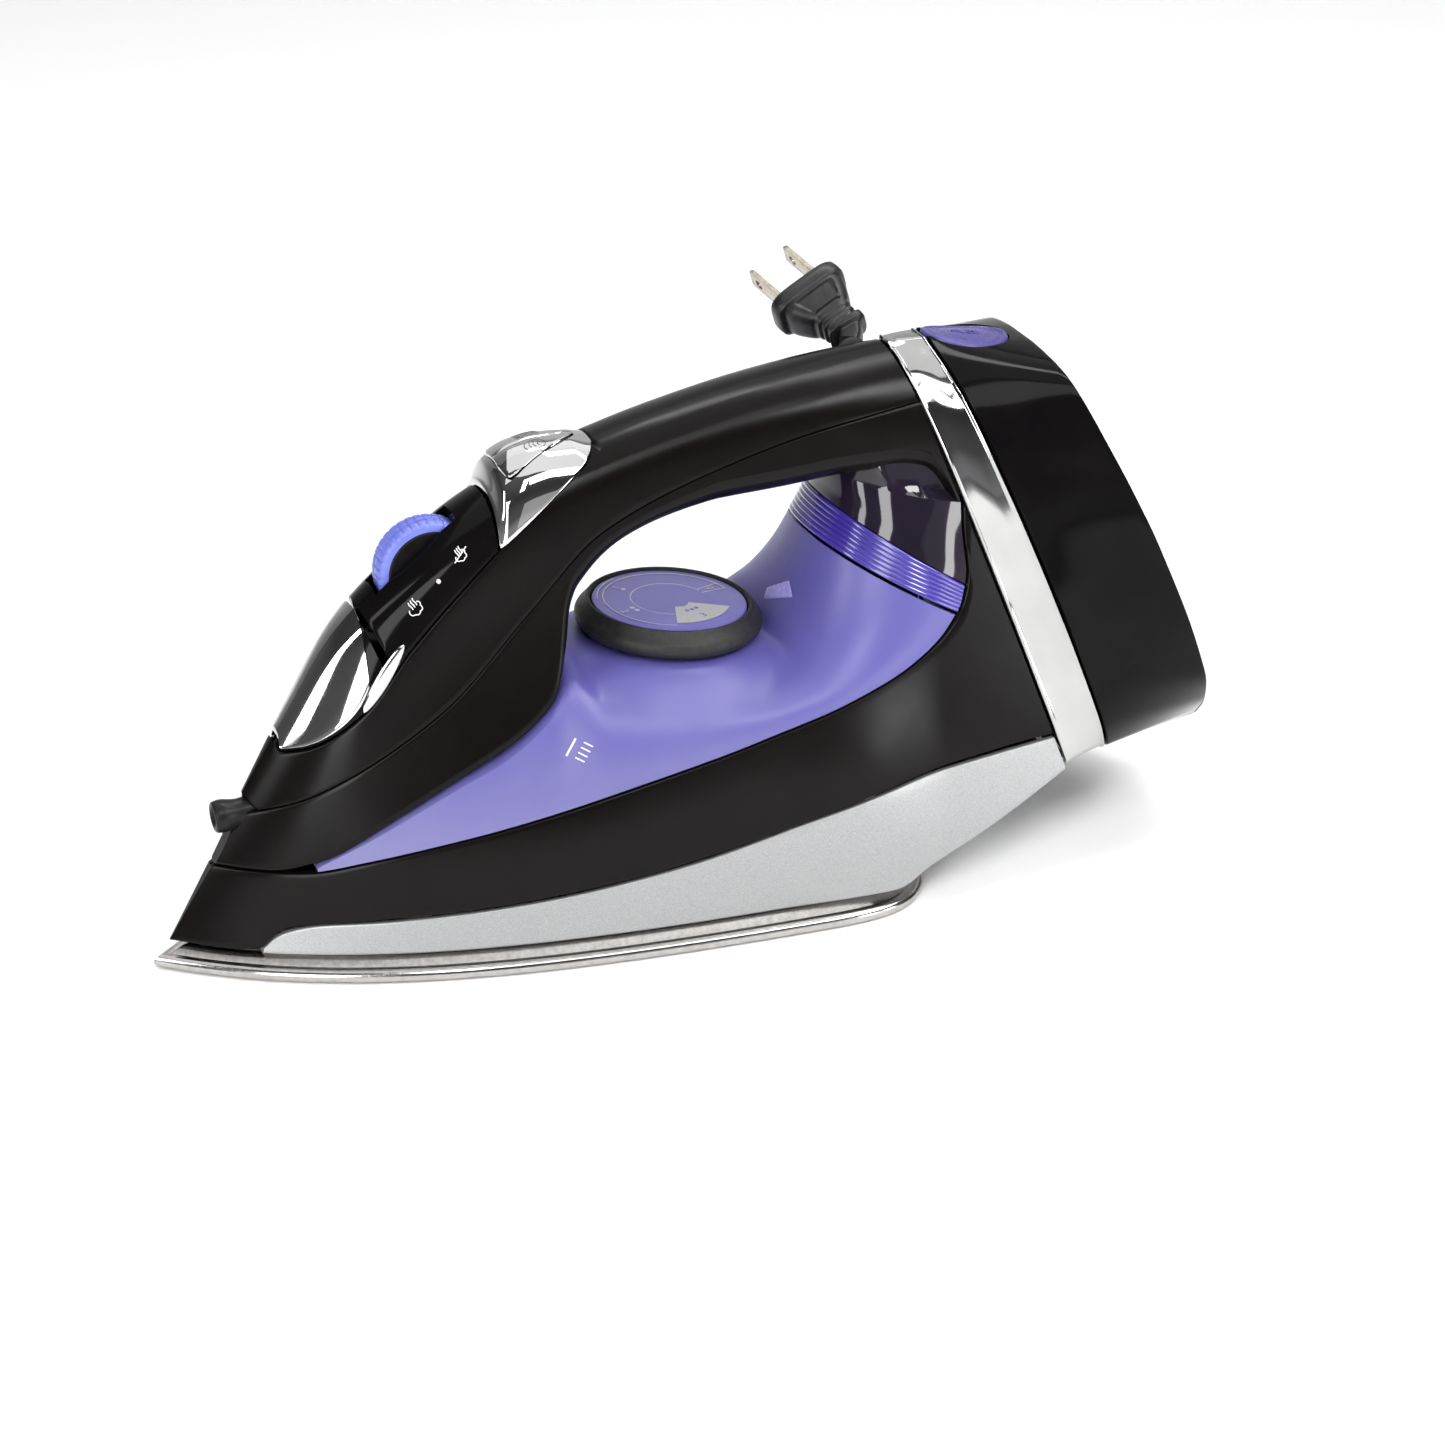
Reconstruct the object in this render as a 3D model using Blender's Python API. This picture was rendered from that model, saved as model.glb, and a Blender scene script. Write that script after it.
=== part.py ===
"""Steam iron with a self-winding cord, as an assembly of separate pieces.

Drawing units are millimetres; every mesh is written in metres.
X runs from the nose (-) to the heel (+), Y across, Z up. The sole rests on Z = 0.
The body is drawn like a boat: a side view (x, z) and a half width for each point of it.
"""

import math

import bmesh
import bpy
import numpy as np
from mathutils import Vector

MM = 0.001
CENTRE_X = 5.8          # middle of the footprint in drawing coordinates
GAP = 0.35              # clearance between neighbouring pieces
WALL = 2.4              # thickness of the moulded shells

# Sole
NOSE_X = -153.4
HEEL_X = 72.5
SOLE_HALF = 54.0
NOSE_LENGTH = 60.0      # how quickly the sole widens behind the nose
SOLE_SEGMENTS = 20      # points along one side of the outline

# Nose line of the body: x of the leading edge at height z
NOSE_FOOT = (-150.0, 6.0)
NOSE_SLOPE = 0.553

# Sloping rear planes: point on the centre line at the top, and run per drop
BAND_FRONT = (67.5, 157.3, 0.325)
BAND_REAR = (79.5, 157.6, 0.352)
REAR_RIM = (111.34, 152.9, 0.437)

# Temperature dial
DIAL_X = 2.0
DIAL_FOOT_Z = 79.6
DIAL_TILT = math.radians(4.0)
DIAL_FACE_R = 22.2

# Fill door hinge, across the nose at the door's lower end
DOOR_HINGE = (-115.0, 0.0, 66.4)

# Retract button on the crown of the rear cover
BUTTON_X = 93.0
BUTTON_Z = 155.45
BUTTON_LONG = 13.2
BUTTON_WIDE = 10.6
BUTTON_FALL = 0.148     # slope of the cover's crown towards the rear
PLUNGER_X = 94.0
BRAKE_PIVOT = (103.0, 0.0, 132.5)

# Steam wheel
WHEEL_X = -69.5
WHEEL_Z = 109.5
WHEEL_R = 14.6
WHEEL_HALF = 4.4

# Spray nozzle in the nose: foot, aim, radius and length of its bore
NOZZLE_BORE = ((-140.0, 0.0, 43.3), (1.0, 0.0, 0.05), 4.7, 20.5)

# Steam valve stem, vertical through tank and chamber cover
VALVE_X = -60.0

# Cord reel behind the band; its axle is square to the rear face
REEL_R = 37.0
REEL_HALF = 10.5
REEL_DEPTH = 22.0
REEL_DROP = 67.64

# Mains cord
CORD_R = 2.1
CORD_STEPS = 26
WINDING_R = 32.0

OUTLET = (65.7, 13.4, 147.4)    # where the cord leaves the far side of the handle

# Plug, pointing out to the far side
PLUG_ROOT = (68.7, 24.4, 150.2)
PLUG_AIM = (-0.27, 0.92, 0.28)
PLUG_BODY = 22.5
BLADE_LENGTH = 17.0
BLADE_PITCH = 12.7
BLADE_WIDE = 6.35
BLADE_THICK = 1.5

BLACK_GLOSS = ((0.012, 0.011, 0.012), 0.16, 0.0)
BLACK_SATIN = ((0.02, 0.019, 0.02), 0.42, 0.0)
PURPLE = ((0.16, 0.13, 0.55), 0.25, 0.0)
PURPLE_CLEAR = ((0.22, 0.19, 0.62), 0.3, 0.0)
SMOKED = ((0.03, 0.02, 0.05), 0.08, 0.0)
CHROME = ((0.85, 0.85, 0.86), 0.05, 1.0)
SILVER = ((0.52, 0.53, 0.54), 0.36, 0.8)
STAINLESS = ((0.58, 0.57, 0.55), 0.2, 1.0)
ALUMINIUM = ((0.62, 0.62, 0.63), 0.45, 1.0)
STEEL = ((0.5, 0.5, 0.52), 0.3, 1.0)
BRASS = ((0.7, 0.55, 0.28), 0.3, 1.0)
RUBBER = ((0.015, 0.015, 0.016), 0.75, 0.0)
WHITE = ((0.78, 0.78, 0.75), 0.5, 0.0)


# ---------------------------------------------------------------- curves

def smooth_line(points):
    """Monotone cubic through (a, b) points; b may be a number or a tuple."""
    a = np.array([p[0] for p in points], float)
    b = np.array([p[1] for p in points], float)
    step = np.diff(a)
    rise = (np.diff(b, axis=0).T / step).T
    slope = np.zeros_like(b)
    for i in range(1, len(a) - 1):
        same = rise[i - 1] * rise[i] > 0
        total = np.where(same, rise[i - 1] + rise[i], 1.0)
        slope[i] = np.where(same, 2.0 * rise[i - 1] * rise[i] / total, 0.0)
    slope[0] = rise[0]
    slope[-1] = rise[-1]

    def at(value):
        i = int(np.clip(np.searchsorted(a, value) - 1, 0, len(a) - 2))
        h = step[i]
        t = (value - a[i]) / h
        if t < 0.0:
            return b[0] + slope[0] * (value - a[0])
        if t > 1.0:
            return b[-1] + slope[-1] * (value - a[-1])
        h00 = (1 + 2 * t) * (1 - t) ** 2
        h10 = t * (1 - t) ** 2
        h01 = t * t * (3 - 2 * t)
        h11 = t * t * (t - 1)
        return h00 * b[i] + h10 * h * slope[i] + h01 * b[i + 1] + h11 * h * slope[i + 1]

    return at


def rail(points):
    """Smooth curve through points, by their place in the list (0, 1, 2 ...)."""
    return smooth_line([(i, p) for i, p in enumerate(points)])


def ease(low, high, value):
    t = min(max((value - low) / (high - low), 0.0), 1.0)
    return t * t * (3 - 2 * t)


def thinned(x, z, wall):
    """Half width of a shell's inner face; near the nose the shell is almost solid."""
    wide = half_width(x, z)
    return max(wide - wall, min(0.3, wide * 0.5))


# ---------------------------------------------------------------- body form

top_line = smooth_line([
    (-150, 6), (-144, 17.5), (-128, 45.5), (-112, 72.5), (-97, 95.5), (-80, 111.5),
    (-60, 126.5), (-40, 135.8), (-20, 142), (0, 147), (30, 152.6), (67.5, 156.6), (120, 158)])
bezel_line = smooth_line([
    (-53, 131.0), (-50, 137.6), (-43, 141.4), (-36, 142.6), (-28, 142.6), (-21.5, 141.6)])
belly = smooth_line([(0, 49), (6, 49.5), (31, 52), (66, 50), (106, 44), (160, 40)])
nose_power = smooth_line([(0, 1.0), (6, 1.0), (46, 0.85), (96, 0.7), (160, 0.6)])
crown_width = smooth_line([(-150, 16.5), (-60, 16.5), (0, 16.5), (30, 16), (70, 14), (110, 14)])
crown_flare = smooth_line([(-150, 0), (-60, 0), (0, 0.04), (30, 0.12), (70, 0.32), (110, 0.32)])
crown_bulge = smooth_line([(-150, 0.003), (-60, 0.003), (0, 0.0033), (30, 0.0025), (70, 0), (110, 0)])
crown_round = smooth_line([(-150, 9), (-110, 9), (-60, 6), (0, 5), (40, 5), (75, 8), (110, 8)])


def half_width(x, z, top=None):
    """Half width of the black body at a point of the side view; top replaces its crown height."""
    behind = max(x - (NOSE_FOOT[0] + (z - NOSE_FOOT[1]) * NOSE_SLOPE), 1e-4)
    spread = (belly(z) + 0.06 * max(x - 20.0, 0.0)) * (1 - math.exp(-behind / NOSE_LENGTH)) ** nose_power(z)
    below = max((top_line(x) if top is None else top) - z, 1e-4)
    crown = crown_width(x) + crown_flare(x) * below + crown_bulge(x) * below * below
    crown *= (1 - math.exp(-below / crown_round(x))) ** 0.56
    spread = max(spread, 0.05)
    crown = max(crown, 0.05)
    return (spread ** -7 + crown ** -7) ** (-1 / 7)


upper_seam = smooth_line([
    (-126.4, 45.5), (-112, 51), (-99, 58), (-85, 66.5), (-70, 77), (-46, 100), (-24, 119.5),
    (6, 131.5), (41, 139.8), (72, 143.6)])
strip_edge = smooth_line([
    (-116, 62.5), (-108, 65), (-92, 76.5), (-79, 92.5), (-53, 117.5), (-43, 125.5), (-34, 132.5),
    (-21.5, 141.0)])
tank_low = smooth_line([(-112, 31), (-103, 33), (-61, 41), (-4, 55), (44, 67), (62, 74), (78, 89)])
tank_high = smooth_line([(-112, 31.5), (-106, 35), (-73, 54), (-50, 67), (-42, 74), (-37, 84)])

# Side edge shared by the base shell, tank, collar and column, from the nose to the heel
SIDE_EDGE = [
    (-135.4, 30.1), (-126, 30.3), (-112, 30.9), (-96, 34.2), (-75, 38.6), (-48, 44.4), (-18, 51.7),
    (12, 58.9), (40, 65.9), (60, 72.8), (72, 80.8), (78.3, 89.5), (80.8, 99.5), (80.2, 111.5), (76.6, 127.6)]
BASE_FOOT = [
    (-148.4, 8.4), (-139, 8.2), (-128, 8.2), (-119, 14.9), (-95, 17.6), (-60, 20.4), (-25, 24.7),
    (8, 31), (38, 37.6), (62, 42.6), (76, 44.8), (84, 45.8), (90.4, 46.6), (96.4, 47.2), (102.6, 47.7)]
# Rail pairs: (upper edge, lower edge) of the front shell and of the heat skirt
FRONT_RAILS = [
    ((-126.2, 45), (-134.6, 30.4)), ((-112, 50.4), (-122, 30.7)), ((-99, 57.4), (-108, 34.3)),
    ((-85, 65.9), (-90, 44.8)), ((-70, 76.4), (-70, 56.2)), ((-58, 87.4), (-50, 67.5)),
    ((-50, 95.4), (-40, 77.5)), ((-44, 101.4), (-36, 88)), ((-38, 107.4), (-33.5, 98)),
    ((-30, 114.2), (-27.5, 107)), ((-20, 120.6), (-18, 115)), ((-6, 127), (-5, 119.5)),
    ((10, 131.9), (10, 121.7)), ((30, 137), (30, 123)), ((50, 140.8), (50, 124.5)),
    ((71.8, 142.6), (76.0, 129.5))]
SKIRT_RAILS = [
    ((-125.4, 8.8), (-125.8, 7.2)), ((-121, 12.6), (-122, 7.2)), ((-111, 15.6), (-113, 7.2)),
    ((-90, 17), (-90, 7.2)), ((-50, 20.3), (-50, 7.2)), ((-10, 26.2), (-10, 7.2)),
    ((28, 34.6), (28, 7.2)), ((52, 39.5), (52, 7.6)), ((64, 41.7), (64, 13.6)),
    ((80, 43.8), (80, 21.8)), ((103.0, 46.4), (106.2, 36.5))]
SIDE_CURVE = rail(SIDE_EDGE)
# Centre line of the tank, collar and column, by place along the side edge
TANK_RIDGE = [
    (2.5, (-104.5, 36.0)), (3.3, (-90, 43)), (4.05, (-73, 53)), (4.6, (-57, 62)), (5.1, (-45, 70)),
    (5.35, (-37.5, 79)), (5.6, (-30, 80)), (6.05, (-17, 78)), (6.65, (2, 76)), (7.2, (18, 74.6)),
    (7.8, (27, 76.4)), (8.4, (32.5, 82)), (8.9, (36.5, 88.5)), (9.7, (40.5, 97)), (10.5, (43.0, 103.6))]
COLLAR_RIDGE = [(10.64, (43.5, 104.8)), (11.0, (45.8, 109)), (11.36, (47.8, 113.4))]
COLUMN_RIDGE = [(11.43, (48.1, 113.9)), (12.2, (48.8, 117)), (13.1, (49.2, 120)), (13.93, (49.5, 122.6))]


# ---------------------------------------------------------------- mesh making

def material(name, look):
    colour, roughness, metallic = look
    made = bpy.data.materials.new(name)
    made.use_nodes = True
    shader = made.node_tree.nodes["Principled BSDF"]
    shader.inputs["Base Color"].default_value = (*colour, 1.0)
    shader.inputs["Roughness"].default_value = roughness
    shader.inputs["Metallic"].default_value = metallic
    return made


def piece(name, points, faces, look, origin=None):
    """One closed solid; points in drawing millimetres, origin on the joint axis."""
    origin = Vector(origin) if origin is not None else Vector((0.0, 0.0, 0.0))
    mesh = bpy.data.meshes.new(name)
    shifted = [tuple((Vector(p) - origin) * MM) for p in points]
    mesh.from_pydata(shifted, [], faces)
    shape = bmesh.new()
    shape.from_mesh(mesh)
    bmesh.ops.recalc_face_normals(shape, faces=shape.faces)
    shape.to_mesh(mesh)
    shape.free()
    mesh.shade_smooth()
    mesh.set_sharp_from_angle(angle=math.radians(32))
    mesh.materials.append(material(name, look))
    made = bpy.data.objects.new(name, mesh)
    made.location = (origin - Vector((CENTRE_X, 0.0, 0.0))) * MM
    bpy.context.scene.collection.objects.link(made)
    return made


def skin(loops, round_trip=False):
    """Faces between loops of equal length, with end caps or joined into a ring."""
    count = len(loops[0])
    points = [p for loop in loops for p in loop]
    faces = []
    spans = len(loops) if round_trip else len(loops) - 1
    for i in range(spans):
        here = i * count
        there = ((i + 1) % len(loops)) * count
        for j in range(count):
            k = (j + 1) % count
            faces.append((here + j, here + k, there + k, there + j))
    if not round_trip:
        faces.append(tuple(range(count)))
        faces.append(tuple(range((len(loops) - 1) * count, len(loops) * count)))
    return points, faces


def frame_of(axis):
    """Two unit vectors square to an axis."""
    axis = Vector(axis).normalized()
    side = axis.cross(Vector((0.0, 0.0, 1.0)))
    if side.length < 0.01:
        side = Vector((0.0, 1.0, 0.0))
    side.normalize()
    return axis, side, side.cross(axis)


def turned(profile, foot, axis, sides=24, hollow=False):
    """Profile of (radius, height) turned about an axis; hollow joins its ends."""
    axis, side, other = frame_of(axis)
    foot = Vector(foot)
    loops = []
    for radius, height in profile:
        loop = []
        for j in range(sides):
            turn = 2 * math.pi * j / sides
            loop.append(foot + axis * height + (side * math.cos(turn) + other * math.sin(turn)) * radius)
        loops.append(loop)
    return skin(loops, round_trip=hollow)


def swept(path, radius, sides=8):
    """Round rod along a path of points."""
    path = [Vector(p) for p in path]
    loops = []
    _, side, other = frame_of(path[1] - path[0])
    for i, centre in enumerate(path):
        ahead = path[min(i + 1, len(path) - 1)] - path[max(i - 1, 0)]
        ahead.normalize()
        side = (side - ahead * side.dot(ahead)).normalized()
        other = side.cross(ahead)
        loops.append([centre + (side * math.cos(t) + other * math.sin(t)) * radius
                      for t in (2 * math.pi * j / sides for j in range(sides))])
    return skin(loops)


def block(low, high, bevel=0.6):
    """Box with chamfered upright and level edges."""
    loops = []
    for z, inset in ((low[2], bevel), (low[2] + bevel, 0), (high[2] - bevel, 0), (high[2], bevel)):
        x0, y0, x1, y1 = low[0] + inset, low[1] + inset, high[0] - inset, high[1] - inset
        loops.append([
            (x0 + bevel, y0, z), (x1 - bevel, y0, z), (x1, y0 + bevel, z), (x1, y1 - bevel, z),
            (x1 - bevel, y1, z), (x0 + bevel, y1, z), (x0, y1 - bevel, z), (x0, y0 + bevel, z)])
    return skin(loops)


def cut(target, name, points, faces):
    """Subtract a hidden cutter from a piece and bake the result."""
    tool = piece(name, points, faces, STEEL)
    tool.hide_render = True
    tool.display_type = "WIRE"
    modifier = target.modifiers.new(name, "BOOLEAN")
    modifier.operation = "DIFFERENCE"
    modifier.object = tool
    return tool


def drill(target, name, foot, axis, radius, length, sides=12):
    cut(target, name, *turned([(radius, 0), (radius, length)], foot, axis, sides))


# ---------------------------------------------------------------- sole group

def sole_outline(inset, z):
    """Closed plan outline of the sole, drawn in by an inset."""
    nose = NOSE_X + 1.5 * inset
    heel = HEEL_X - inset
    side = []
    for i in range(SOLE_SEGMENTS + 1):
        x = nose + (heel - nose) * (1 - math.cos(math.pi * i / SOLE_SEGMENTS)) / 2
        wide = (SOLE_HALF - inset) * (1 - math.exp(-(x - nose) / NOSE_LENGTH))
        back = max(x - 30.0, 0.0) / (heel - 30.0)
        wide *= max(1 - back ** 3.2, 0.0) ** (1 / 3.2)
        side.append((x, wide))
    loop = [(x, y, z) for x, y in side]
    loop += [(x, -y, z) for x, y in reversed(side[1:-1])]
    return loop


def make_sole_group():
    sole = piece("soleplate", *skin([
        sole_outline(2.4, 0.0), sole_outline(0.6, 0.7), sole_outline(0.0, 2.2), sole_outline(0.8, 3.5),
        sole_outline(2.6, 3.9), sole_outline(3.4, 3.5), sole_outline(5.6, 6.2), sole_outline(7.2, 6.2),
        sole_outline(7.6, 1.3)]), STAINLESS)
    vents = []
    for row, offset in ((0, -98.0), (1, -84.0), (2, -68.0), (3, -50.0), (4, 30.0)):
        across = 9.0 + 5.0 * min(row, 3)
        vents += [(offset, across), (offset, -across)]
    vents.append((-112.0, 0.0))
    for i, (x, y) in enumerate(vents):
        drill(sole, f"vent_cutter_{i}", (x, y, -1), (0, 0, 1), 2.0, 5.0, sides=8)

    casting = piece("heater_casting", *skin([
        sole_outline(8.4, 1.7), sole_outline(8.6, 12.0), sole_outline(18.6, 12.0), sole_outline(19.0, 16.8),
        sole_outline(21.4, 16.8), sole_outline(21.8, 9.0)]), ALUMINIUM)
    casting.data.shade_flat()
    route = [(x, y, 15.6) for x, y, _ in sole_outline(12.9, 0.0)]
    half = len(route) // 2
    right = route[3:half - 3]
    left = [(x, -y, z) for x, y, z in reversed(right)]
    bend = right[0][1]
    turn_round = [(right[0][0] - bend * 0.8, bend * 0.55, 15.6), (right[0][0] - bend * 1.05, 0.0, 15.6),
                  (right[0][0] - bend * 0.8, -bend * 0.55, 15.6)]
    piece("heating_element", *swept(list(reversed(right)) + turn_round + list(reversed(left)), 3.1, 8), STEEL)
    plate = skin([sole_outline(19.0, 17.2), sole_outline(19.0, 18.4)])
    cover = piece("steam_chamber_cover", *plate, ALUMINIUM)
    drill(cover, "cover_cutter", (VALVE_X, 0, 15), (0, 0, 1), 3.2, 6.0)
    piece("thermostat_body", *block((-9, -9, 18.8), (15, 9, 23.4), 0.8), BRASS)
    piece("thermostat_carrier", *block((-5, -7, 23.8), (11, 7, 26.2), 0.8), WHITE)
    piece("thermal_fuse", *swept([(30, -14, 21.0), (30, 0, 21.0), (30, 14, 21.0)], 2.2, 10), WHITE)
    ends = right[-1]
    for side, sign in (("right", 1), ("left", -1)):
        x = ends[0]
        y = sign * ends[1]
        piece(f"element_terminal_{side}", *block((x - 2, y - 0.5, 19.2), (x + 4, y + 0.5, 24.5), 0.2), STEEL)


# ---------------------------------------------------------------- shells

def side_edge(place, offset):
    """Point of the shared side edge, moved square to it (up or rearward if positive)."""
    here = SIDE_CURVE(place)
    ahead = SIDE_CURVE(place + 0.01) - SIDE_CURVE(place - 0.01)
    ahead = ahead / np.hypot(*ahead)
    return here + np.array((-ahead[1], ahead[0])) * offset


def dome_stations(ridge_points, steps):
    """Evenly spread (side edge, centre line) points of the tank, collar or column."""
    ridge = smooth_line(ridge_points)
    first, last = ridge_points[0][0], ridge_points[-1][0]
    places = [first + (last - first) * i / steps for i in range(steps + 1)]
    return [(side_edge(p, GAP), ridge(p)) for p in places]


def stations(pairs, steps):
    """Evenly spread (upper, lower) points along a pair of rails."""
    upper = rail([p[0] for p in pairs])
    lower = rail([p[1] for p in pairs])
    last = len(pairs) - 1
    return [(upper(last * i / steps), lower(last * i / steps)) for i in range(steps + 1)]


def channel_loop(top, foot, rim_in, floor_rise, rounding, side_points=5, open_depth=1.0):
    """Section of a trough: down one side, across its floor, up the other, and back inside."""
    run = foot - top
    length = float(np.hypot(*run))
    down = run / length
    outer = []
    rounding = min(rounding, 0.7 * length)
    straight = length - rounding
    for i in range(side_points):
        x, z = top + down * straight * i / (side_points - 1)
        outer.append((x, half_width(x, z), z))
    x_edge, wide, z_edge = outer[-1]
    round_in = min(rounding, wide * 0.7)
    for i in (1, 2, 3):
        turn = math.pi / 2 * i / 3
        drop = rounding * math.sin(turn)
        x, z = top + down * (straight + drop)
        outer.append((x, wide - round_in * (1 - math.cos(turn)), z))
    inner = []
    depth = max((length - floor_rise) * open_depth, 0.25)
    for i in range(4):
        x, z = top + down * depth * i / 3
        gone = depth * i / 3
        w = thinned(x, z, rim_in)
        if gone > straight - 1.0:
            w = min(w, max(wide - round_in - 0.2, 0.3 * wide))
        inner.append((x, w, z))
    near = [(x, -y, z) for x, y, z in outer]
    far = [(x, y, z) for x, y, z in reversed(outer)]
    far_in = list(inner)
    near_in = [(x, -y, z) for x, y, z in reversed(inner)]
    return near + far + far_in + near_in


def make_front_shell():
    loops = []
    for top, foot in stations(FRONT_RAILS, 24):
        top[1] = upper_seam(top[0]) - GAP * 1.3
        behind = top[0] + 126.4
        opened = ease(6.0, 16.0, behind)
        handle = ease(-44.0, -26.0, foot[0])
        loops.append(channel_loop(top, foot, WALL, WALL, 1.2 + 6.3 * handle, open_depth=opened))
    shell = piece("front_shell", *skin(loops), BLACK_GLOSS)
    drill(shell, "front_valve_cutter", (VALVE_X, 0, 50), (0, 0, 1), 3.2, 30.0)
    drill(shell, "front_nozzle_cutter", *NOZZLE_BORE)
    return shell


def make_handle_cover():
    loops = []
    steps = 24
    for i in range(steps + 1):
        x_crown = -125.2 + (67.0 + 125.2) * (i / steps)
        x_seam = x_crown + 4.8 * ease(10, 67.0, x_crown) + 3.0 * (1 - ease(-125, -105, x_crown))
        seam = np.array((x_seam, upper_seam(x_seam)))
        crown = np.array((x_crown, top_line(x_crown)))
        opened = ease(-119.0, -108.0, x_crown)
        depth = WALL + (crown[1] - seam[1] - WALL - 0.3) * (1 - opened)
        roof = crown - np.array((0.0, depth))
        outer = []
        for t in (0.0, 0.2, 0.42, 0.64, 0.82, 0.94):
            x, z = seam + (crown - seam) * t
            outer.append((x, half_width(x, z), z))
        inner = []
        for t in (0.0, 0.3, 0.6, 0.85):
            x, z = seam + (roof - seam) * t
            inner.append((x, thinned(x, z, WALL), z))
        near = [(a, -b, c) for a, b, c in outer]
        near_in = [(a, -b, c) for a, b, c in inner]
        loops.append(near + [(crown[0], 0.0, crown[1])] + list(reversed(outer)) + inner
                     + [(roof[0], 0.0, roof[1])] + list(reversed(near_in)))
    cover = piece("handle_cover", *skin(loops), BLACK_GLOSS)
    edge = [(x, strip_edge(x)) for x in (-116.0 + 94.5 * i / 15 for i in range(16))]
    outline = edge + [(-21.5, 160.0), (-140.0, 160.0), (-140.0, 62.5)]
    cut(cover, "strip_cutter", *skin([[(x, y, z) for x, z in outline] for y in (-30.0, 30.0)]))
    drill(cover, "outlet_cutter", (OUTLET[0], 4.0, OUTLET[2]), (0, 1, 0), 3.6, 24.0)
    drill(cover, "cover_nozzle_cutter", *NOZZLE_BORE)
    return cover


def make_base_shell():
    loops = []
    foot_curve = rail(BASE_FOOT)
    steps = 28
    places = [(len(SIDE_EDGE) - 1) * i / steps for i in range(steps + 1)]
    rows = [(side_edge(p, -GAP / 2), foot_curve(p)) for p in places]
    floor_line = smooth_line([(-150, 22), (-20, 27.6), (30, 38), (60, 45.5), (110, 52)])
    for top, foot in rows:
        run = foot - top
        length = float(np.hypot(*run))
        down = run / length
        behind = top[0] + 135.4
        opened = ease(0.5, 5.0, behind)
        floor_x = foot[0] - down[0] * 6
        level = (top[1] - floor_line(floor_x)) / -down[1]
        level = min(max(level, 0.3), length - WALL - 1.0)
        upper_depth = max(level * opened, 0.25)
        lower_depth = length - max((length - level - WALL) * opened, 0.25)
        outer = []
        for i in range(6):
            x, z = top + down * length * i / 5
            outer.append((x, half_width(x, z), z))

        def inside(gone):
            x, z = top + down * gone
            return (x, thinned(x, z, WALL), z)

        inner_low = [inside(length), inside(lower_depth)]
        inner_high = [inside(upper_depth), inside(upper_depth * 0.5), inside(0.0)]
        near = [(x, -y, z) for x, y, z in outer]
        near_low = [(x, -y, z) for x, y, z in inner_low]
        near_high = [(x, -y, z) for x, y, z in inner_high]
        loops.append(near + near_low + list(reversed(inner_low)) + list(reversed(outer))
                     + list(reversed(inner_high)) + near_high)
    shell = piece("base_shell", *skin(loops), BLACK_GLOSS)
    drill(shell, "base_valve_cutter", (VALVE_X, 0, 15), (0, 0, 1), 3.2, 20.0)
    cut(shell, "base_dial_cutter", *turned([(6.0, 0), (6.0, 25.0)], (DIAL_X - 3.5, 0, 22), (0, 0, 1), 12))
    return shell


def make_skirt():
    loops = []
    for top, foot in stations(SKIRT_RAILS, 17):
        hollow = ease(0, 3, top[0] + 125.8)
        loops.append(channel_loop(top, foot, 2.0, 2.0, 0.9, side_points=4, open_depth=hollow))
    skirt = piece("heat_skirt", *skin(loops), SILVER)
    cut(skirt, "skirt_cutter", *skin([sole_outline(6.6, 0.0), sole_outline(6.6, 30.0)]))
    return skirt


SIDE_SHARE = 4 / 7       # part of the tank's section that follows the body's side


def dome_loop(edge, ridge, wall, strip=0.0, power=2.5):
    """Section of the tank: from one side edge over the centre line to the other."""
    wide = half_width(edge[0], edge[1])
    outer = []
    steps = 7
    high = tank_high(edge[0]) - GAP
    for i in range(steps):
        turn = math.pi / 2 * i / steps
        across = math.cos(turn) ** (2 / power)
        up = math.sin(turn) ** (2 / power)
        x, z = edge + (ridge - edge) * up
        y = wide * across
        if strip > 0.0:
            t = i / steps
            if t <= SIDE_SHARE:
                zs = edge[1] + (high - edge[1]) * t / SIDE_SHARE
                ys = half_width(edge[0], zs)
            else:
                zs = high
                ys = half_width(edge[0], high) * (1 - t) / (1 - SIDE_SHARE)
            y += (ys - y) * strip
            z += (zs - z) * strip
        outer.append((x, y, z))
    inner = []
    for i, (x, y, z) in enumerate(outer):
        rise = max(ridge[1] - edge[1], 0.1)
        shrink = max(rise - wall, 0.25) / rise
        along = min(abs(ridge[0] - edge[0]) / 12.0, 1.0) * min(i / 3.0, 1.0)
        inner.append((x + wall * 0.8 * along, y * (wide - wall) / wide, edge[1] + (z - edge[1]) * shrink))
    peak = outer[-1][2] + (ridge[1] - outer[-1][2]) * (1 - strip)
    peak_in = edge[1] + (peak - edge[1]) * max(ridge[1] - edge[1] - wall, 0.25) / max(ridge[1] - edge[1], 0.1)
    along = min(abs(ridge[0] - edge[0]) / 12.0, 1.0)
    near = [(x, -y, z) for x, y, z in outer]
    near_in = [(x, -y, z) for x, y, z in inner]
    return (near + [(ridge[0], 0.0, peak)] + list(reversed(outer)) + inner
            + [(ridge[0] + wall * 0.8 * along, 0.0, peak_in)] + list(reversed(near_in)))


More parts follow.
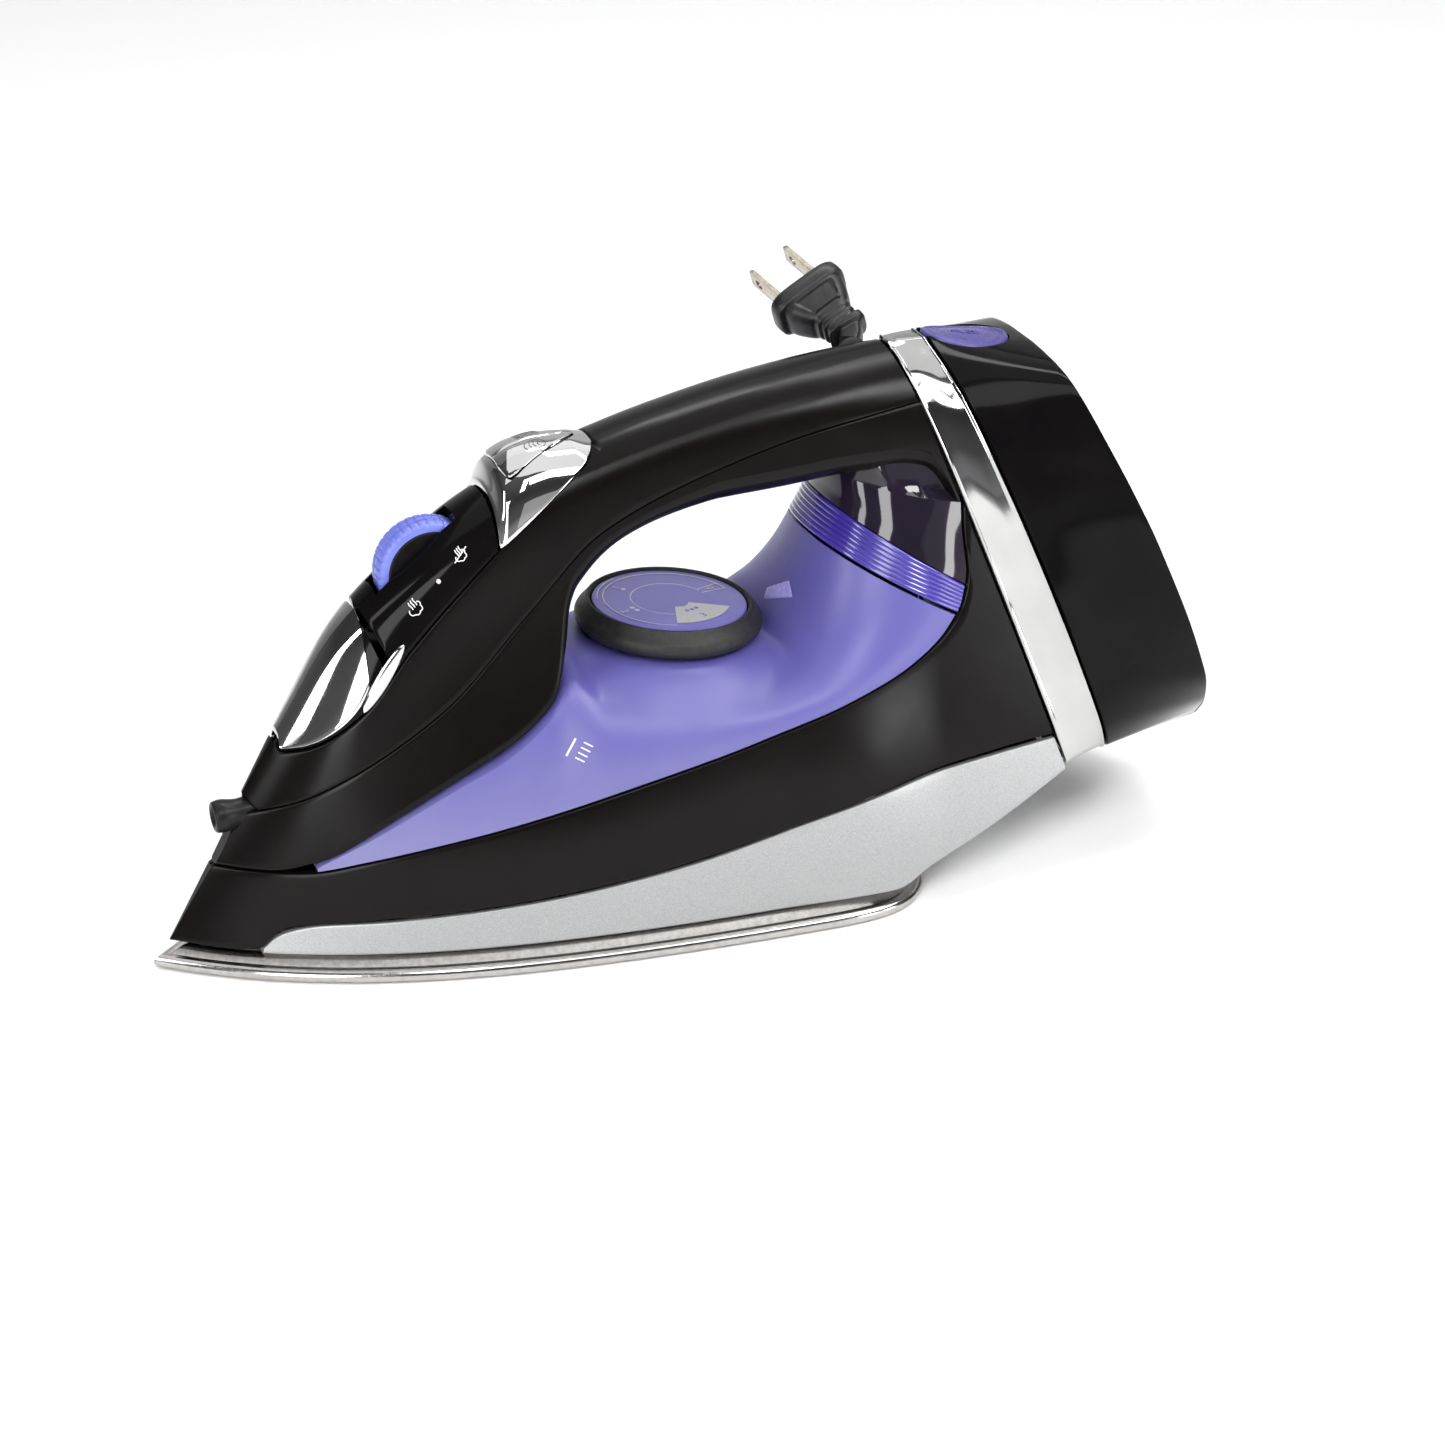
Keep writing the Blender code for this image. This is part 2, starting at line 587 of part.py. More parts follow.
def column_loop(edge, ridge, wall):
    """Section of the trumpet behind the finger gap: a bow from side edge to side edge."""
    wide = half_width(edge[0], edge[1])
    outer, inner = [], []
    for i in range(7):
        turn = math.pi / 2 * i / 7
        across = math.cos(turn) ** (2 / 2.1)
        up = math.sin(turn) ** (2 / 2.1)
        x, z = edge + (ridge - edge) * up
        outer.append((x, wide * across, z))
        inner.append((x + wall * up, (wide - wall) * across, z))
    near = [(x, -y, z) for x, y, z in outer]
    near_in = [(x, -y, z) for x, y, z in inner]
    return (near + [(ridge[0], 0.0, ridge[1])] + list(reversed(outer)) + inner
            + [(ridge[0] + wall, 0.0, ridge[1])] + list(reversed(near_in)))


def make_tank_group():
    loops = []
    for edge, ridge in dome_stations(TANK_RIDGE, 16):
        strip = 1 - ease(-46.0, -28.0, ridge[0])
        power = 2.5 - 0.4 * ease(20, 44, ridge[0])
        loops.append(dome_loop(edge, ridge, 2.2, strip, power))
    tank = piece("water_tank", *skin(loops), PURPLE_CLEAR)
    drill(tank, "tank_valve_cutter", (VALVE_X, 0, 45), (0, 0, 1), 3.2, 30.0)
    drill(tank, "tank_dial_cutter", dial_point(-14), dial_axis(), 4.8, 16.0)

    loops = [column_loop(edge, ridge, 2.2) for edge, ridge in dome_stations(COLLAR_RIDGE, 3)]
    piece("tank_collar", *skin(loops), PURPLE)
    loops = [column_loop(edge, ridge, 2.2) for edge, ridge in dome_stations(COLUMN_RIDGE, 6)]
    piece("rear_column", *skin(loops), SMOKED)

    loops = []
    for i in range(17):
        x = -94.0 + 151.0 * i / 16
        rim = tank_low(x) - 1.6
        sill = smooth_line([(-100, 25.2), (-20, 31.2), (30, 42.0), (62, 50.5)])(x)
        wide = half_width(x, rim) - WALL - 1.3
        low = half_width(x, sill) - WALL - 1.3
        outer = [(x, wide, rim), (x, low, sill + 3.0), (x, low - 3.0, sill)]
        inner = [(x, low - 4.0, sill + 1.6), (x, low - 1.7, sill + 3.6), (x, wide - 1.6, rim)]
        near = [(a, -b, c) for a, b, c in outer]
        near_in = [(a, -b, c) for a, b, c in inner]
        loops.append(near + list(reversed(outer)) + list(reversed(inner)) + near_in)
    tub = piece("tank_tub", *skin(loops), PURPLE_CLEAR)
    drill(tub, "tub_valve_cutter", (VALVE_X, 0, 15), (0, 0, 1), 3.2, 25.0)
    drill(tub, "tub_dial_cutter", dial_point(-52), dial_axis(), 4.8, 22.0)


# ---------------------------------------------------------------- dial and wheel

def dial_axis():
    return (math.sin(DIAL_TILT), 0.0, math.cos(DIAL_TILT))


def dial_point(height):
    """Point on the dial's axis, measured from the underside of the ring."""
    axis = dial_axis()
    return (DIAL_X + axis[0] * height, 0.0, DIAL_FOOT_Z + axis[2] * height)


def make_dial():
    axis = dial_axis()
    piece("dial_ring", *turned([
        (23.5, 0), (26.2, 0.9), (27.0, 3.4), (26.6, 6.2), (24.9, 7.9), (23.1, 8.2), (22.6, 7.4), (22.6, 4.6)],
        dial_point(0), axis, 32), RUBBER, dial_point(0))
    piece("dial_face", *turned([(DIAL_FACE_R, 4.95), (DIAL_FACE_R, 7.5), (21.4, 8.0), (9.0, 8.3)],
                               dial_point(0), axis, 32), PURPLE, dial_point(0))
    piece("dial_shaft", *turned([(2.6, -52.6), (2.6, -2.0), (6.5, -1.6), (6.5, -0.35)],
                                dial_point(0), axis, 12), WHITE, dial_point(0))
    piece("dial_seal", *turned([(7.2, -1.9), (12.5, -1.9), (12.5, -0.6), (7.2, -0.6)],
                               dial_point(0), axis, 16, hollow=True), RUBBER)
    piece("shaft_sleeve", *turned([(3.2, -43.0), (4.4, -43.0), (4.4, -6.4), (3.2, -6.4)],
                                  dial_point(0), axis, 12, hollow=True), PURPLE_CLEAR)


def make_steam_controls():
    foot = (WHEEL_X, -WHEEL_HALF, WHEEL_Z)
    ribs = 30
    loops = []
    for radius, across in ((2.0, 0), (WHEEL_R - 1.4, 0), (WHEEL_R, 1.0),
                           (WHEEL_R, 2 * WHEEL_HALF - 1.0), (WHEEL_R - 1.4, 2 * WHEEL_HALF),
                           (2.0, 2 * WHEEL_HALF)):
        loop = []
        for j in range(ribs):
            turn = 2 * math.pi * j / ribs
            r = radius - (0.5 if j % 2 and radius > WHEEL_R - 0.5 else 0.0)
            loop.append((foot[0] + r * math.cos(turn), foot[1] + across, foot[2] + r * math.sin(turn)))
        loops.append(loop)
    piece("steam_wheel", *skin(loops, round_trip=True), PURPLE, (WHEEL_X, 0, WHEEL_Z))
    piece("wheel_axle", *turned([(1.6, -9.0), (1.6, 9.0)], (WHEEL_X, 0, WHEEL_Z), (0, 1, 0), 10), STEEL)
    piece("valve_stem", *turned([(0.8, 19.4), (1.6, 21.0), (1.6, 90.0), (2.8, 90.6), (2.8, 93.0)],
                                (VALVE_X, 0, 0), (0, 0, 1), 10), BRASS, (VALVE_X, 0, 20))


def cap_loops(x_from, x_to, steps, ridge=None, thick=WALL):
    """Saddle-shaped cap on the body between the strip edge and its ridge line."""
    ridge = ridge or top_line
    loops = []
    for i in range(steps + 1):
        x = x_from + (x_to - x_from) * i / steps
        edge = strip_edge(x) + GAP * 2.0
        crown = max(ridge(x), edge + 0.6)
        outer = []
        for t in (0.0, 0.3, 0.55, 0.76, 0.91):
            z = edge + (crown - edge) * t
            outer.append((x, half_width(x, z, crown), z))
        roof = max(crown - thick, edge + 0.3)
        inner = []
        for t in (0.0, 0.35, 0.65, 0.87):
            z = edge + (roof - edge) * t
            wide = half_width(x, z, crown)
            inner.append((x, max(wide - thick, min(0.3, wide * 0.5)), z))
        near = [(a, -b, c) for a, b, c in outer]
        near_in = [(a, -b, c) for a, b, c in inner]
        loops.append(near + [(x, 0.0, crown)] + list(reversed(outer)) + inner
                     + [(x, 0.0, roof)] + list(reversed(near_in)))
    return loops


def coil(foot, radius, height, turns, per_turn=8):
    """Points of an upright helix."""
    steps = turns * per_turn
    return [(foot[0] + radius * math.cos(2 * math.pi * i / per_turn),
             foot[1] + radius * math.sin(2 * math.pi * i / per_turn),
             foot[2] + height * i / steps) for i in range(steps + 1)]


def crown_drop(x, y):
    """How far the crown surface has fallen at distance y from the centre line."""
    part = min(abs(y) / crown_width(x), 0.985)
    return -crown_round(x) * math.log(1 - part ** (1 / 0.56))


def make_top_controls(cover):
    piece("fill_door", *skin(cap_loops(-114.6, -88.6, 7)), CHROME, DOOR_HINGE)
    panel = piece("control_panel", *skin(cap_loops(-87.8, -53.2, 8)), BLACK_SATIN)
    slot = WHEEL_HALF + 0.7
    cut(panel, "wheel_slot_cutter", *block((-86.0, -slot, 100), (-54.4, slot, 140), 0.2))
    bezel = piece("button_bezel", *skin(cap_loops(-52.4, -24.6, 9, bezel_line)), CHROME)
    for target in (bezel, cover):
        cut(target, f"{target.name}_well_cutter", *block((-48.4, -9.3, 118), (-30.1, 9.3, 160), 0.4))
    for side, name in ((-1, "spray"), (1, "burst")):
        loops = []
        for i in range(7):
            x = -48.0 + 17.5 * i / 6
            reach = min(8.8, half_width(x, strip_edge(x) + 2.5, bezel_line(x)) - 3.2)
            top = []
            for t in (0.0, 0.35, 0.7, 1.0):
                y = 0.25 + (reach - 0.25) * t
                top.append((x, side * y, bezel_line(x) + 0.8 - crown_drop(x, y) * 0.9))
            foot = max(top_line(x) - 8.0, strip_edge(x) + 1.2)
            low = [(x, side * y, foot) for y in (reach, 0.25)]
            loops.append(top + low)
        piece(f"{name}_button", *skin(loops), CHROME)
        y = side * 5.4
        piece(f"{name}_piston", *turned([(2.0, 106.0), (2.0, 124.2), (3.9, 124.4), (3.9, 125.6), (2.0, 125.8),
                                         (2.0, 127.4)],
                                        (-38.5, y, 0), (0, 0, 1), 10), WHITE)
        piece(f"{name}_pump", *turned([(2.5, 104.0), (4.6, 104.0), (4.6, 115.0), (2.5, 115.0)],
                                      (-38.5, y, 0), (0, 0, 1), 14, hollow=True), WHITE)
        piece(f"{name}_spring", *swept(coil((-38.5, y, 115.9), 3.3, 7.8, 4), 0.45, 4), STEEL)
        hose = rail([(-42.0, side * 4.0, 102.4), (-50, side * 5.0, 95), (-66, side * 5.0, 76),
                     (-84, side * 3.6, 62), (-103, side * 2.4, 50)])
        piece(f"{name}_hose", *swept([hose(4 * i / 14) for i in range(15)], 1.6, 8), WHITE)
    piece("spray_nozzle", *turned([(1.2, 0), (3.0, 0), (4.1, 0.9), (4.3, 4.0), (4.3, 9.0), (2.4, 12.5),
                                   (1.2, 12.5)],
                                  (-133.6, 0, 43.6), (1, 0, 0.05), 16, hollow=True), BLACK_SATIN)


# ---------------------------------------------------------------- rear

def rear_loop(plane, widths, drop_to, shrink=0.0, points=11, from_top=0.0):
    """Closed section on a sloping plane: half widths given against height below the top."""
    wide = smooth_line(widths)
    slope = 1 / math.sqrt(1 + plane[2] ** 2)
    side = []
    for i in range(points):
        t = (1 - math.cos(math.pi * i / (points - 1))) / 2
        start = max(shrink, from_top)
        s = start + (drop_to - shrink - start) * t
        y = max(float(wide(s)) - shrink, 1.0)
        side.append((plane[0] + s * slope * plane[2], y, plane[1] - s * slope))
    near = [(x, -y, z) for x, y, z in side]
    return side + list(reversed(near))


BAND_FRONT_WIDTHS = [
    (0, 3), (1.5, 4), (2.5, 5.5), (6.5, 10.5), (19.5, 19.5), (36.5, 26.5), (55.5, 32), (74.5, 37.5),
    (93.5, 42.5), (114.5, 47.5), (124.5, 49), (127.5, 45)]
BAND_REAR_WIDTHS = [
    (0, 4), (1.5, 6), (6, 13), (18, 24), (36, 32), (55, 38.5), (74, 43.5), (92, 46.5), (114, 48.5),
    (124, 46), (127.5, 40)]
REAR_RIM_WIDTHS = [
    (0, 7), (0.6, 12), (2.5, 21), (5.5, 27), (9, 30.3), (14.1, 33.4), (25.1, 38.4), (38.1, 43.5),
    (55.1, 47.5), (76.1, 48.5), (103.1, 44.5), (118.1, 35.5), (132.1, 20.5)]


def between(loop_a, loop_b, t):
    return [tuple(a + (b - a) * t for a, b in zip(p, q)) for p, q in zip(loop_a, loop_b)]


def make_rear():
    front = rear_loop(BAND_FRONT, BAND_FRONT_WIDTHS, 127.0)
    rear = rear_loop(BAND_REAR, BAND_REAR_WIDTHS, 128.5)
    front_in = rear_loop(BAND_FRONT, BAND_FRONT_WIDTHS, 127.0, shrink=WALL)
    rear_in = rear_loop(BAND_REAR, BAND_REAR_WIDTHS, 128.5, shrink=WALL)
    piece("chrome_band", *skin([between(front, rear, 0.03), between(front, rear, 0.5), between(front, rear, 0.95),
                                between(front_in, rear_in, 0.95), between(front_in, rear_in, 0.03)],
                               round_trip=True), CHROME)
    rim = rear_loop(REAR_RIM, REAR_RIM_WIDTHS, 133.6)
    x, z, lean = REAR_RIM
    rim_small = rear_loop((x + 1.2, z - 2.0, lean), REAR_RIM_WIDTHS, 133.6, shrink=2.5)
    rim_in = rear_loop((x - 3.4, z + 0.2, lean), REAR_RIM_WIDTHS, 133.6, shrink=3.0)
    start = between(rear, rim, 0.01)
    start_in = between(rear_in, rim_in, 0.01)
    cover = piece("rear_cover", *skin([
        rim_in, between(start_in, rim_in, 0.5), start_in, start, between(start, rim, 0.33),
        between(start, rim, 0.66), rim, rim_small]), BLACK_GLOSS)
    cut(cover, "button_well_rear_cutter", *skin([oval_plan(0.5, 140.0), oval_plan(0.5, 170.0)]))
    plate = rear_loop(BAND_FRONT, BAND_FRONT_WIDTHS, 124.0, shrink=4.0, from_top=25.0)
    front_face = [(x + 1.2, y, z) for x, y, z in plate]
    back_face = [(x + 3.0, y, z) for x, y, z in plate]
    piece("reel_bulkhead", *skin([front_face, back_face]), BLACK_SATIN)


def oval_plan(grow, z):
    """Plan of the retract button, blunt at the rear and drawn out towards the band."""
    loop = []
    for j in range(20):
        turn = 2 * math.pi * j / 20
        c = math.cos(turn)
        taper = 1.0 - 0.12 * (1 - c)
        loop.append((BUTTON_X + (BUTTON_LONG + grow) * c, (BUTTON_WIDE + grow) * math.sin(turn) * taper, z))
    return loop


def make_retract():
    def crown(loop, lift):
        return [(x, y, BUTTON_Z + lift - BUTTON_FALL * (x - BUTTON_X) - 0.022 * y * y) for x, y, _ in loop]

    piece("retract_button", *skin([
        oval_plan(0.0, BUTTON_Z - 6.4), crown(oval_plan(0.0, 0), 0.4), crown(oval_plan(-1.2, 0), 1.1),
        crown(oval_plan(-2.6, 0), 0.5), crown(oval_plan(-6.0, 0), 0.7)]), PURPLE)
    stem = turned([(1.5, 134.4), (1.5, BUTTON_Z - 6.8)], (PLUNGER_X, 0, 0), (0, 0, 1), 10)
    piece("retract_plunger", *stem, WHITE)
    piece("retract_spring", *swept(coil((PLUNGER_X, 0, 142.2), 3.2, 5.2, 3), 0.45, 4), STEEL)
    piece("button_guide", *turned([(1.9, 138.6), (6.5, 138.6), (6.5, 141.4), (1.9, 141.4)],
                                  (PLUNGER_X, 0, 0), (0, 0, 1), 14, hollow=True), BLACK_SATIN)
    x, _, z = BRAKE_PIVOT
    bar = block((x - 11.5, -4.0, z - 1.5), (x + 10.0, 4.0, z + 1.5), 0.3)
    lever = piece("brake_lever", *bar, WHITE, BRAKE_PIVOT)
    drill(lever, "brake_bore_cutter", (x, -6, z), (0, 1, 0), 1.05, 12.0)
    piece("brake_pad", *block((x + 5.6, -4.0, z - 11.9), (x + 10.0, 4.0, z - 1.8), 0.4), RUBBER, BRAKE_PIVOT)
    piece("brake_pin", *turned([(0.95, -7.5), (0.95, 7.5)], BRAKE_PIVOT, (0, 1, 0), 10), STEEL)


def plug_point(along):
    """Point on the plug's axis, measured from its root."""
    return tuple(Vector(PLUG_ROOT) + Vector(PLUG_AIM).normalized() * along)


def make_cord():
    piece("cord_bushing", *turned([(2.7, -3.6), (3.3, -3.6), (3.3, 3.6), (4.8, 3.9), (4.4, 4.8), (2.7, 5.2)],
                                  OUTLET, (0, 1, 0), 16, hollow=True), RUBBER)
    centre = Vector(reel_point(REEL_DEPTH))
    rise = Vector((-reel_axis()[2], 0.0, reel_axis()[0]))
    aside = Vector((0.0, -WINDING_R - CORD_R - 0.5, 0.0))
    route = [tuple(centre + aside + rise * r) for r in (-6.0, 4.0, 16.0)]
    route += [(103.0, -31.5, 115.0), (94.0, -22.0, 129.0), (86.0, -12.5, 138.0), (78.0, -5.0, 143.2)]
    route += [(70.8, 1.6, 146.2), (66.2, 7.2, 147.2), (65.7, 13.0, 147.4), (65.7, 18.9, 147.4)]
    route += [plug_point(d) for d in (0.0, 3.8)]
    path = rail(route)
    last = len(route) - 1
    line = [path(last * i / CORD_STEPS) for i in range(CORD_STEPS + 1)]
    piece("cord_tail", *swept(line, CORD_R, 10), RUBBER)


def reel_axis():
    slope = 1 / math.sqrt(1 + REAR_RIM[2] ** 2)
    return (slope, 0.0, slope * REAR_RIM[2])


def reel_point(depth):
    """Point on the reel's axis, a given depth in front of the rear face."""
    slope = 1 / math.sqrt(1 + REAR_RIM[2] ** 2)
    axis = reel_axis()
    x = REAR_RIM[0] + REEL_DROP * slope * REAR_RIM[2]
    z = REAR_RIM[1] - REEL_DROP * slope
    return (x - axis[0] * depth, 0.0, z - axis[2] * depth)


def make_reel():
    foot = reel_point(REEL_DEPTH)
    axis = reel_axis()
    h = REEL_HALF
    piece("cord_reel", *turned([
        (4.4, -h), (REEL_R, -h), (REEL_R, -h + 1.6), (13.0, -h + 1.6), (13.0, h - 1.6),
        (REEL_R, h - 1.6), (REEL_R, h), (4.4, h)], foot, axis, 28, hollow=True), BLACK_SATIN, foot)
    wound = [(14.6, -h + 1.9), (WINDING_R, -h + 1.9), (WINDING_R, h - 1.9), (14.6, h - 1.9)]
    piece("cord_winding", *turned(wound, foot, axis, 32, hollow=True), RUBBER, foot)
    piece("reel_axle", *turned([(4.0, -h - 6.0), (4.0, h + 2.4), (7.0, h + 2.8), (7.0, h + 5.0)],
                               foot, axis, 16), STEEL)
    piece("mainspring", *turned([(7.6, -h - 4.4), (24.0, -h - 4.4), (24.0, -h - 0.5), (7.6, -h - 0.5)],
                                foot, axis, 24, hollow=True), STEEL)
    piece("spring_housing", *turned([
        (4.5, -h - 6.6), (26.8, -h - 6.6), (26.8, -h - 0.5), (25.0, -h - 0.5), (25.0, -h - 4.9),
        (4.5, -h - 4.9)],
        foot, axis, 24, hollow=True), BLACK_SATIN)


def make_plug():
    aim, side, up = frame_of(PLUG_AIM)
    root = Vector(PLUG_ROOT)
    roll = math.radians(27)
    wide = side * math.cos(roll) + up * math.sin(roll)
    thick = wide.cross(aim)

    def oval(along, half_wide, half_thick, corner=0.55, count=12):
        loop = []
        for j in range(count):
            turn = 2 * math.pi * (j + 0.5) / count
            c, s = math.cos(turn), math.sin(turn)
            a = math.copysign(abs(c) ** corner, c) * half_wide
            b = math.copysign(abs(s) ** corner, s) * half_thick
            loop.append(root + aim * along + wide * a + thick * b)
        return loop

    piece("plug_body", *skin([
        oval(4.2, 4.6, 4.0), oval(5.0, 6.4, 4.8), oval(6.2, 6.5, 4.9), oval(7.6, 6.3, 5.0),
        oval(11.5, 9.0, 6.0),
        oval(17.2, 10.4, 6.6), oval(17.6, 12.0, 7.2), oval(21.8, 12.0, 7.2),
        oval(PLUG_BODY, 11.2, 6.4)]), RUBBER)
    for name, sign in (("neutral", -1), ("live", 1)):
        loops = []
        for along, half in ((0.35, 1.0), (BLADE_LENGTH - 2.0, 1.0), (BLADE_LENGTH, 0.72)):
            centre = root + aim * (PLUG_BODY + along) + wide * sign * BLADE_PITCH / 2
            loops.append([centre + wide * a * BLADE_THICK / 2 + thick * b * BLADE_WIDE / 2 * half
                          for a, b in ((-1, -1), (1, -1), (1, 1), (-1, 1))])
        blade = piece(f"plug_blade_{name}", *skin(loops), BRASS)
        hole = root + aim * (PLUG_BODY + BLADE_LENGTH - 4.6) + wide * (sign * BLADE_PITCH / 2 - 3)
        drill(blade, f"blade_{name}_cutter", hole, wide, 1.4, 6.0, sides=10)


def main():
    for old in list(bpy.data.objects):
        bpy.data.objects.remove(old, do_unlink=True)
    make_sole_group()
    make_skirt()
    make_base_shell()
    make_front_shell()
    cover = make_handle_cover()
    make_tank_group()
    make_dial()
    make_steam_controls()
    make_top_controls(cover)
    make_rear()
    make_reel()
    make_retract()
    make_cord()
    make_plug()


main()
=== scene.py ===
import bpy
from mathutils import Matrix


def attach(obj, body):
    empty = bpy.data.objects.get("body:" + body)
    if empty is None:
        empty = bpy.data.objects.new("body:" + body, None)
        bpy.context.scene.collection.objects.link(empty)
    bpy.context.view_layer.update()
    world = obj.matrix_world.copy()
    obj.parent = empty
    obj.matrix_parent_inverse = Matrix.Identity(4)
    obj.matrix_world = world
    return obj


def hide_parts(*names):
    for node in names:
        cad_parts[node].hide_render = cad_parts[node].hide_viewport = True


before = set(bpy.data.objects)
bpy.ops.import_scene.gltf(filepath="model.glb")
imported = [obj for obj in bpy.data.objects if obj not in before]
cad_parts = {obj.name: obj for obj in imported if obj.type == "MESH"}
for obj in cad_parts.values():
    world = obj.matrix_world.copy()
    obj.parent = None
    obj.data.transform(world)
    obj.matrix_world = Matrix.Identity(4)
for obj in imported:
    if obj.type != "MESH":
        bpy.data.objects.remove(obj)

"""Visual model of a steam iron with a self-winding cord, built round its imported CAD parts.

Drawing units are millimetres, as in the CAD: X from the nose to the heel, Y across, Z up.
The visible shells are drawn again with many more sections and with softened edges.
"""

import math

import bmesh
import bpy
import numpy as np
from mathutils import Matrix, Vector
from mathutils.bvhtree import BVHTree

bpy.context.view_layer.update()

MM = 0.001
CENTRE_X = 5.8
GAP = 0.35
WALL = 2.4

# Sole
NOSE_X = -153.4
HEEL_X = 72.5
SOLE_HALF = 54.0
NOSE_LENGTH = 60.0
SOLE_SEGMENTS = 90

HEEL_START = 30.0
HEEL_POWER = 3.2

# Body form; each rear plane has the x and z of its top point and the x that it gains per unit of drop
NOSE_FOOT = (-150.0, 6.0)
NOSE_SLOPE = 0.553
BAND_FRONT = (67.5, 157.3, 0.325)
BAND_REAR = (79.5, 157.6, 0.352)
REAR_RIM = (111.34, 152.9, 0.437)
BAND_FRONT_DROP = 127.0
BAND_REAR_DROP = 128.5
REAR_RIM_DROP = 133.6
STRIP_END = -21.5
DECK_START = -116.0
DOOR_LEAN = 0.75
NOZZLE_FOOT = (-134.6, 0, 43.9)
NOZZLE_AIM = (1, 0, 0.05)

# Dial, steam wheel and retract button
DIAL_X = 2.0
DIAL_FOOT_Z = 79.6
DIAL_TILT = math.radians(4.0)
DIAL_FACE = 8.0
WHEEL_X = -69.5
WHEEL_Z = 109.5
WHEEL_R = 14.6
WHEEL_HALF = 4.4
BUTTON_X = 93.0
BUTTON_Z = 155.45
BUTTON_LONG = 13.2
BUTTON_WIDE = 10.6
BUTTON_FALL = 0.148
BUTTON_BOW = 0.022

# Cord, reel and plug
CORD_R = 2.1
WINDING_CORE = 14.75
WINDING_R = 32.0
REEL_DEPTH = 22.0
REEL_DROP = 67.64
CORD_STEPS = 60
OUTLET = (65.7, 13.4, 147.4)
PLUG_ROOT = (68.7, 24.4, 150.2)
PLUG_AIM = (-0.27, 0.92, 0.28)
PLUG_ROLL = math.radians(27)
PLUG_NECK_END = 4.2
PLUG_HEAD = 17.2
PLUG_BODY = 22.5
BLADE_LENGTH = 17.0
BLADE_PITCH = 12.7
BLADE_WIDE = 6.35
BLADE_THICK = 1.5

# Camera: its axes, lens, distance and small shift
CAMERA_BACK = (-0.3367, -0.8333, 0.4384)
CAMERA_RIGHT = (0.927, -0.375, 0.0)
CAMERA_LENS = 94.07
CAMERA_FAR = 1.1
CAMERA_SHIFT = (-0.00125, 0.0006)

# Materials by name, each with its slot
LOOKS = {}


# ---------------------------------------------------------------- curves and form

def smooth_line(points):
    """Monotone cubic through (a, b) points; b may be a number or a tuple."""
    a = np.array([p[0] for p in points], float)
    b = np.array([p[1] for p in points], float)
    step = np.diff(a)
    rise = (np.diff(b, axis=0).T / step).T
    slope = np.zeros_like(b)
    for i in range(1, len(a) - 1):
        same = rise[i - 1] * rise[i] > 0
        total = np.where(same, rise[i - 1] + rise[i], 1.0)
        slope[i] = np.where(same, 2.0 * rise[i - 1] * rise[i] / total, 0.0)
    slope[0] = rise[0]
    slope[-1] = rise[-1]

    def at(value):
        i = int(np.clip(np.searchsorted(a, value) - 1, 0, len(a) - 2))
        h = step[i]
        t = (value - a[i]) / h
        if t < 0.0:
            return b[0] + slope[0] * (value - a[0])
        if t > 1.0:
            return b[-1] + slope[-1] * (value - a[-1])
        h00 = (1 + 2 * t) * (1 - t) ** 2
        h10 = t * (1 - t) ** 2
        h01 = t * t * (3 - 2 * t)
        h11 = t * t * (t - 1)
        return h00 * b[i] + h10 * h * slope[i] + h01 * b[i + 1] + h11 * h * slope[i + 1]

    return at


def rail(points):
    """Smooth curve through points, by their place in the list (0, 1, 2 ...)."""
    return smooth_line([(i, p) for i, p in enumerate(points)])


def ease(low, high, value):
    t = min(max((value - low) / (high - low), 0.0), 1.0)
    return t * t * (3 - 2 * t)


def turns(count):
    """Angles once round, in equal steps."""
    return [2 * math.pi * i / count for i in range(count)]


def mirrored(points):
    """The same points on the near side."""
    return [(x, -y, z) for x, y, z in points]


top_line = smooth_line([
    (-150, 6), (-144, 17.5), (-128, 45.5), (-112, 72.5), (-97, 95.5), (-80, 111.5),
    (-60, 126.5), (-40, 135.8), (-20, 142), (0, 147), (30, 152.6), (67.5, 156.6), (120, 158)])
bezel_line = smooth_line([
    (-53, 131.0), (-50, 137.6), (-43, 141.4), (-36, 142.6), (-28, 142.6), (STRIP_END, 141.6)])
belly = smooth_line([(0, 49), (6, 49.5), (31, 52), (66, 50), (106, 44), (160, 40)])
nose_power = smooth_line([(0, 1.0), (6, 1.0), (46, 0.85), (96, 0.7), (160, 0.6)])
crown_width = smooth_line([(-150, 16.5), (-60, 16.5), (0, 16.5), (30, 16), (70, 14), (110, 14)])
crown_flare = smooth_line([(-150, 0), (-60, 0), (0, 0.04), (30, 0.12), (70, 0.32), (110, 0.32)])
crown_bulge = smooth_line([(-150, 0.003), (-60, 0.003), (0, 0.0033), (30, 0.0025), (70, 0), (110, 0)])
crown_round = smooth_line([(-150, 9), (-110, 9), (-60, 6), (0, 5), (40, 5), (75, 8), (110, 8)])
upper_seam = smooth_line([
    (-126.4, 45.5), (-112, 51), (-99, 58), (-85, 66.5), (-70, 77), (-46, 100), (-24, 119.5),
    (6, 131.5), (41, 139.8), (72, 143.6)])
strip_edge = smooth_line([
    (-116, 62.5), (-108, 65), (-92, 76.5), (-79, 92.5), (-53, 117.5), (-43, 125.5), (-34, 132.5),
    (STRIP_END, 141.0)])
tank_high = smooth_line([(-112, 31.5), (-106, 35), (-73, 54), (-50, 67), (-42, 74), (-37, 84)])

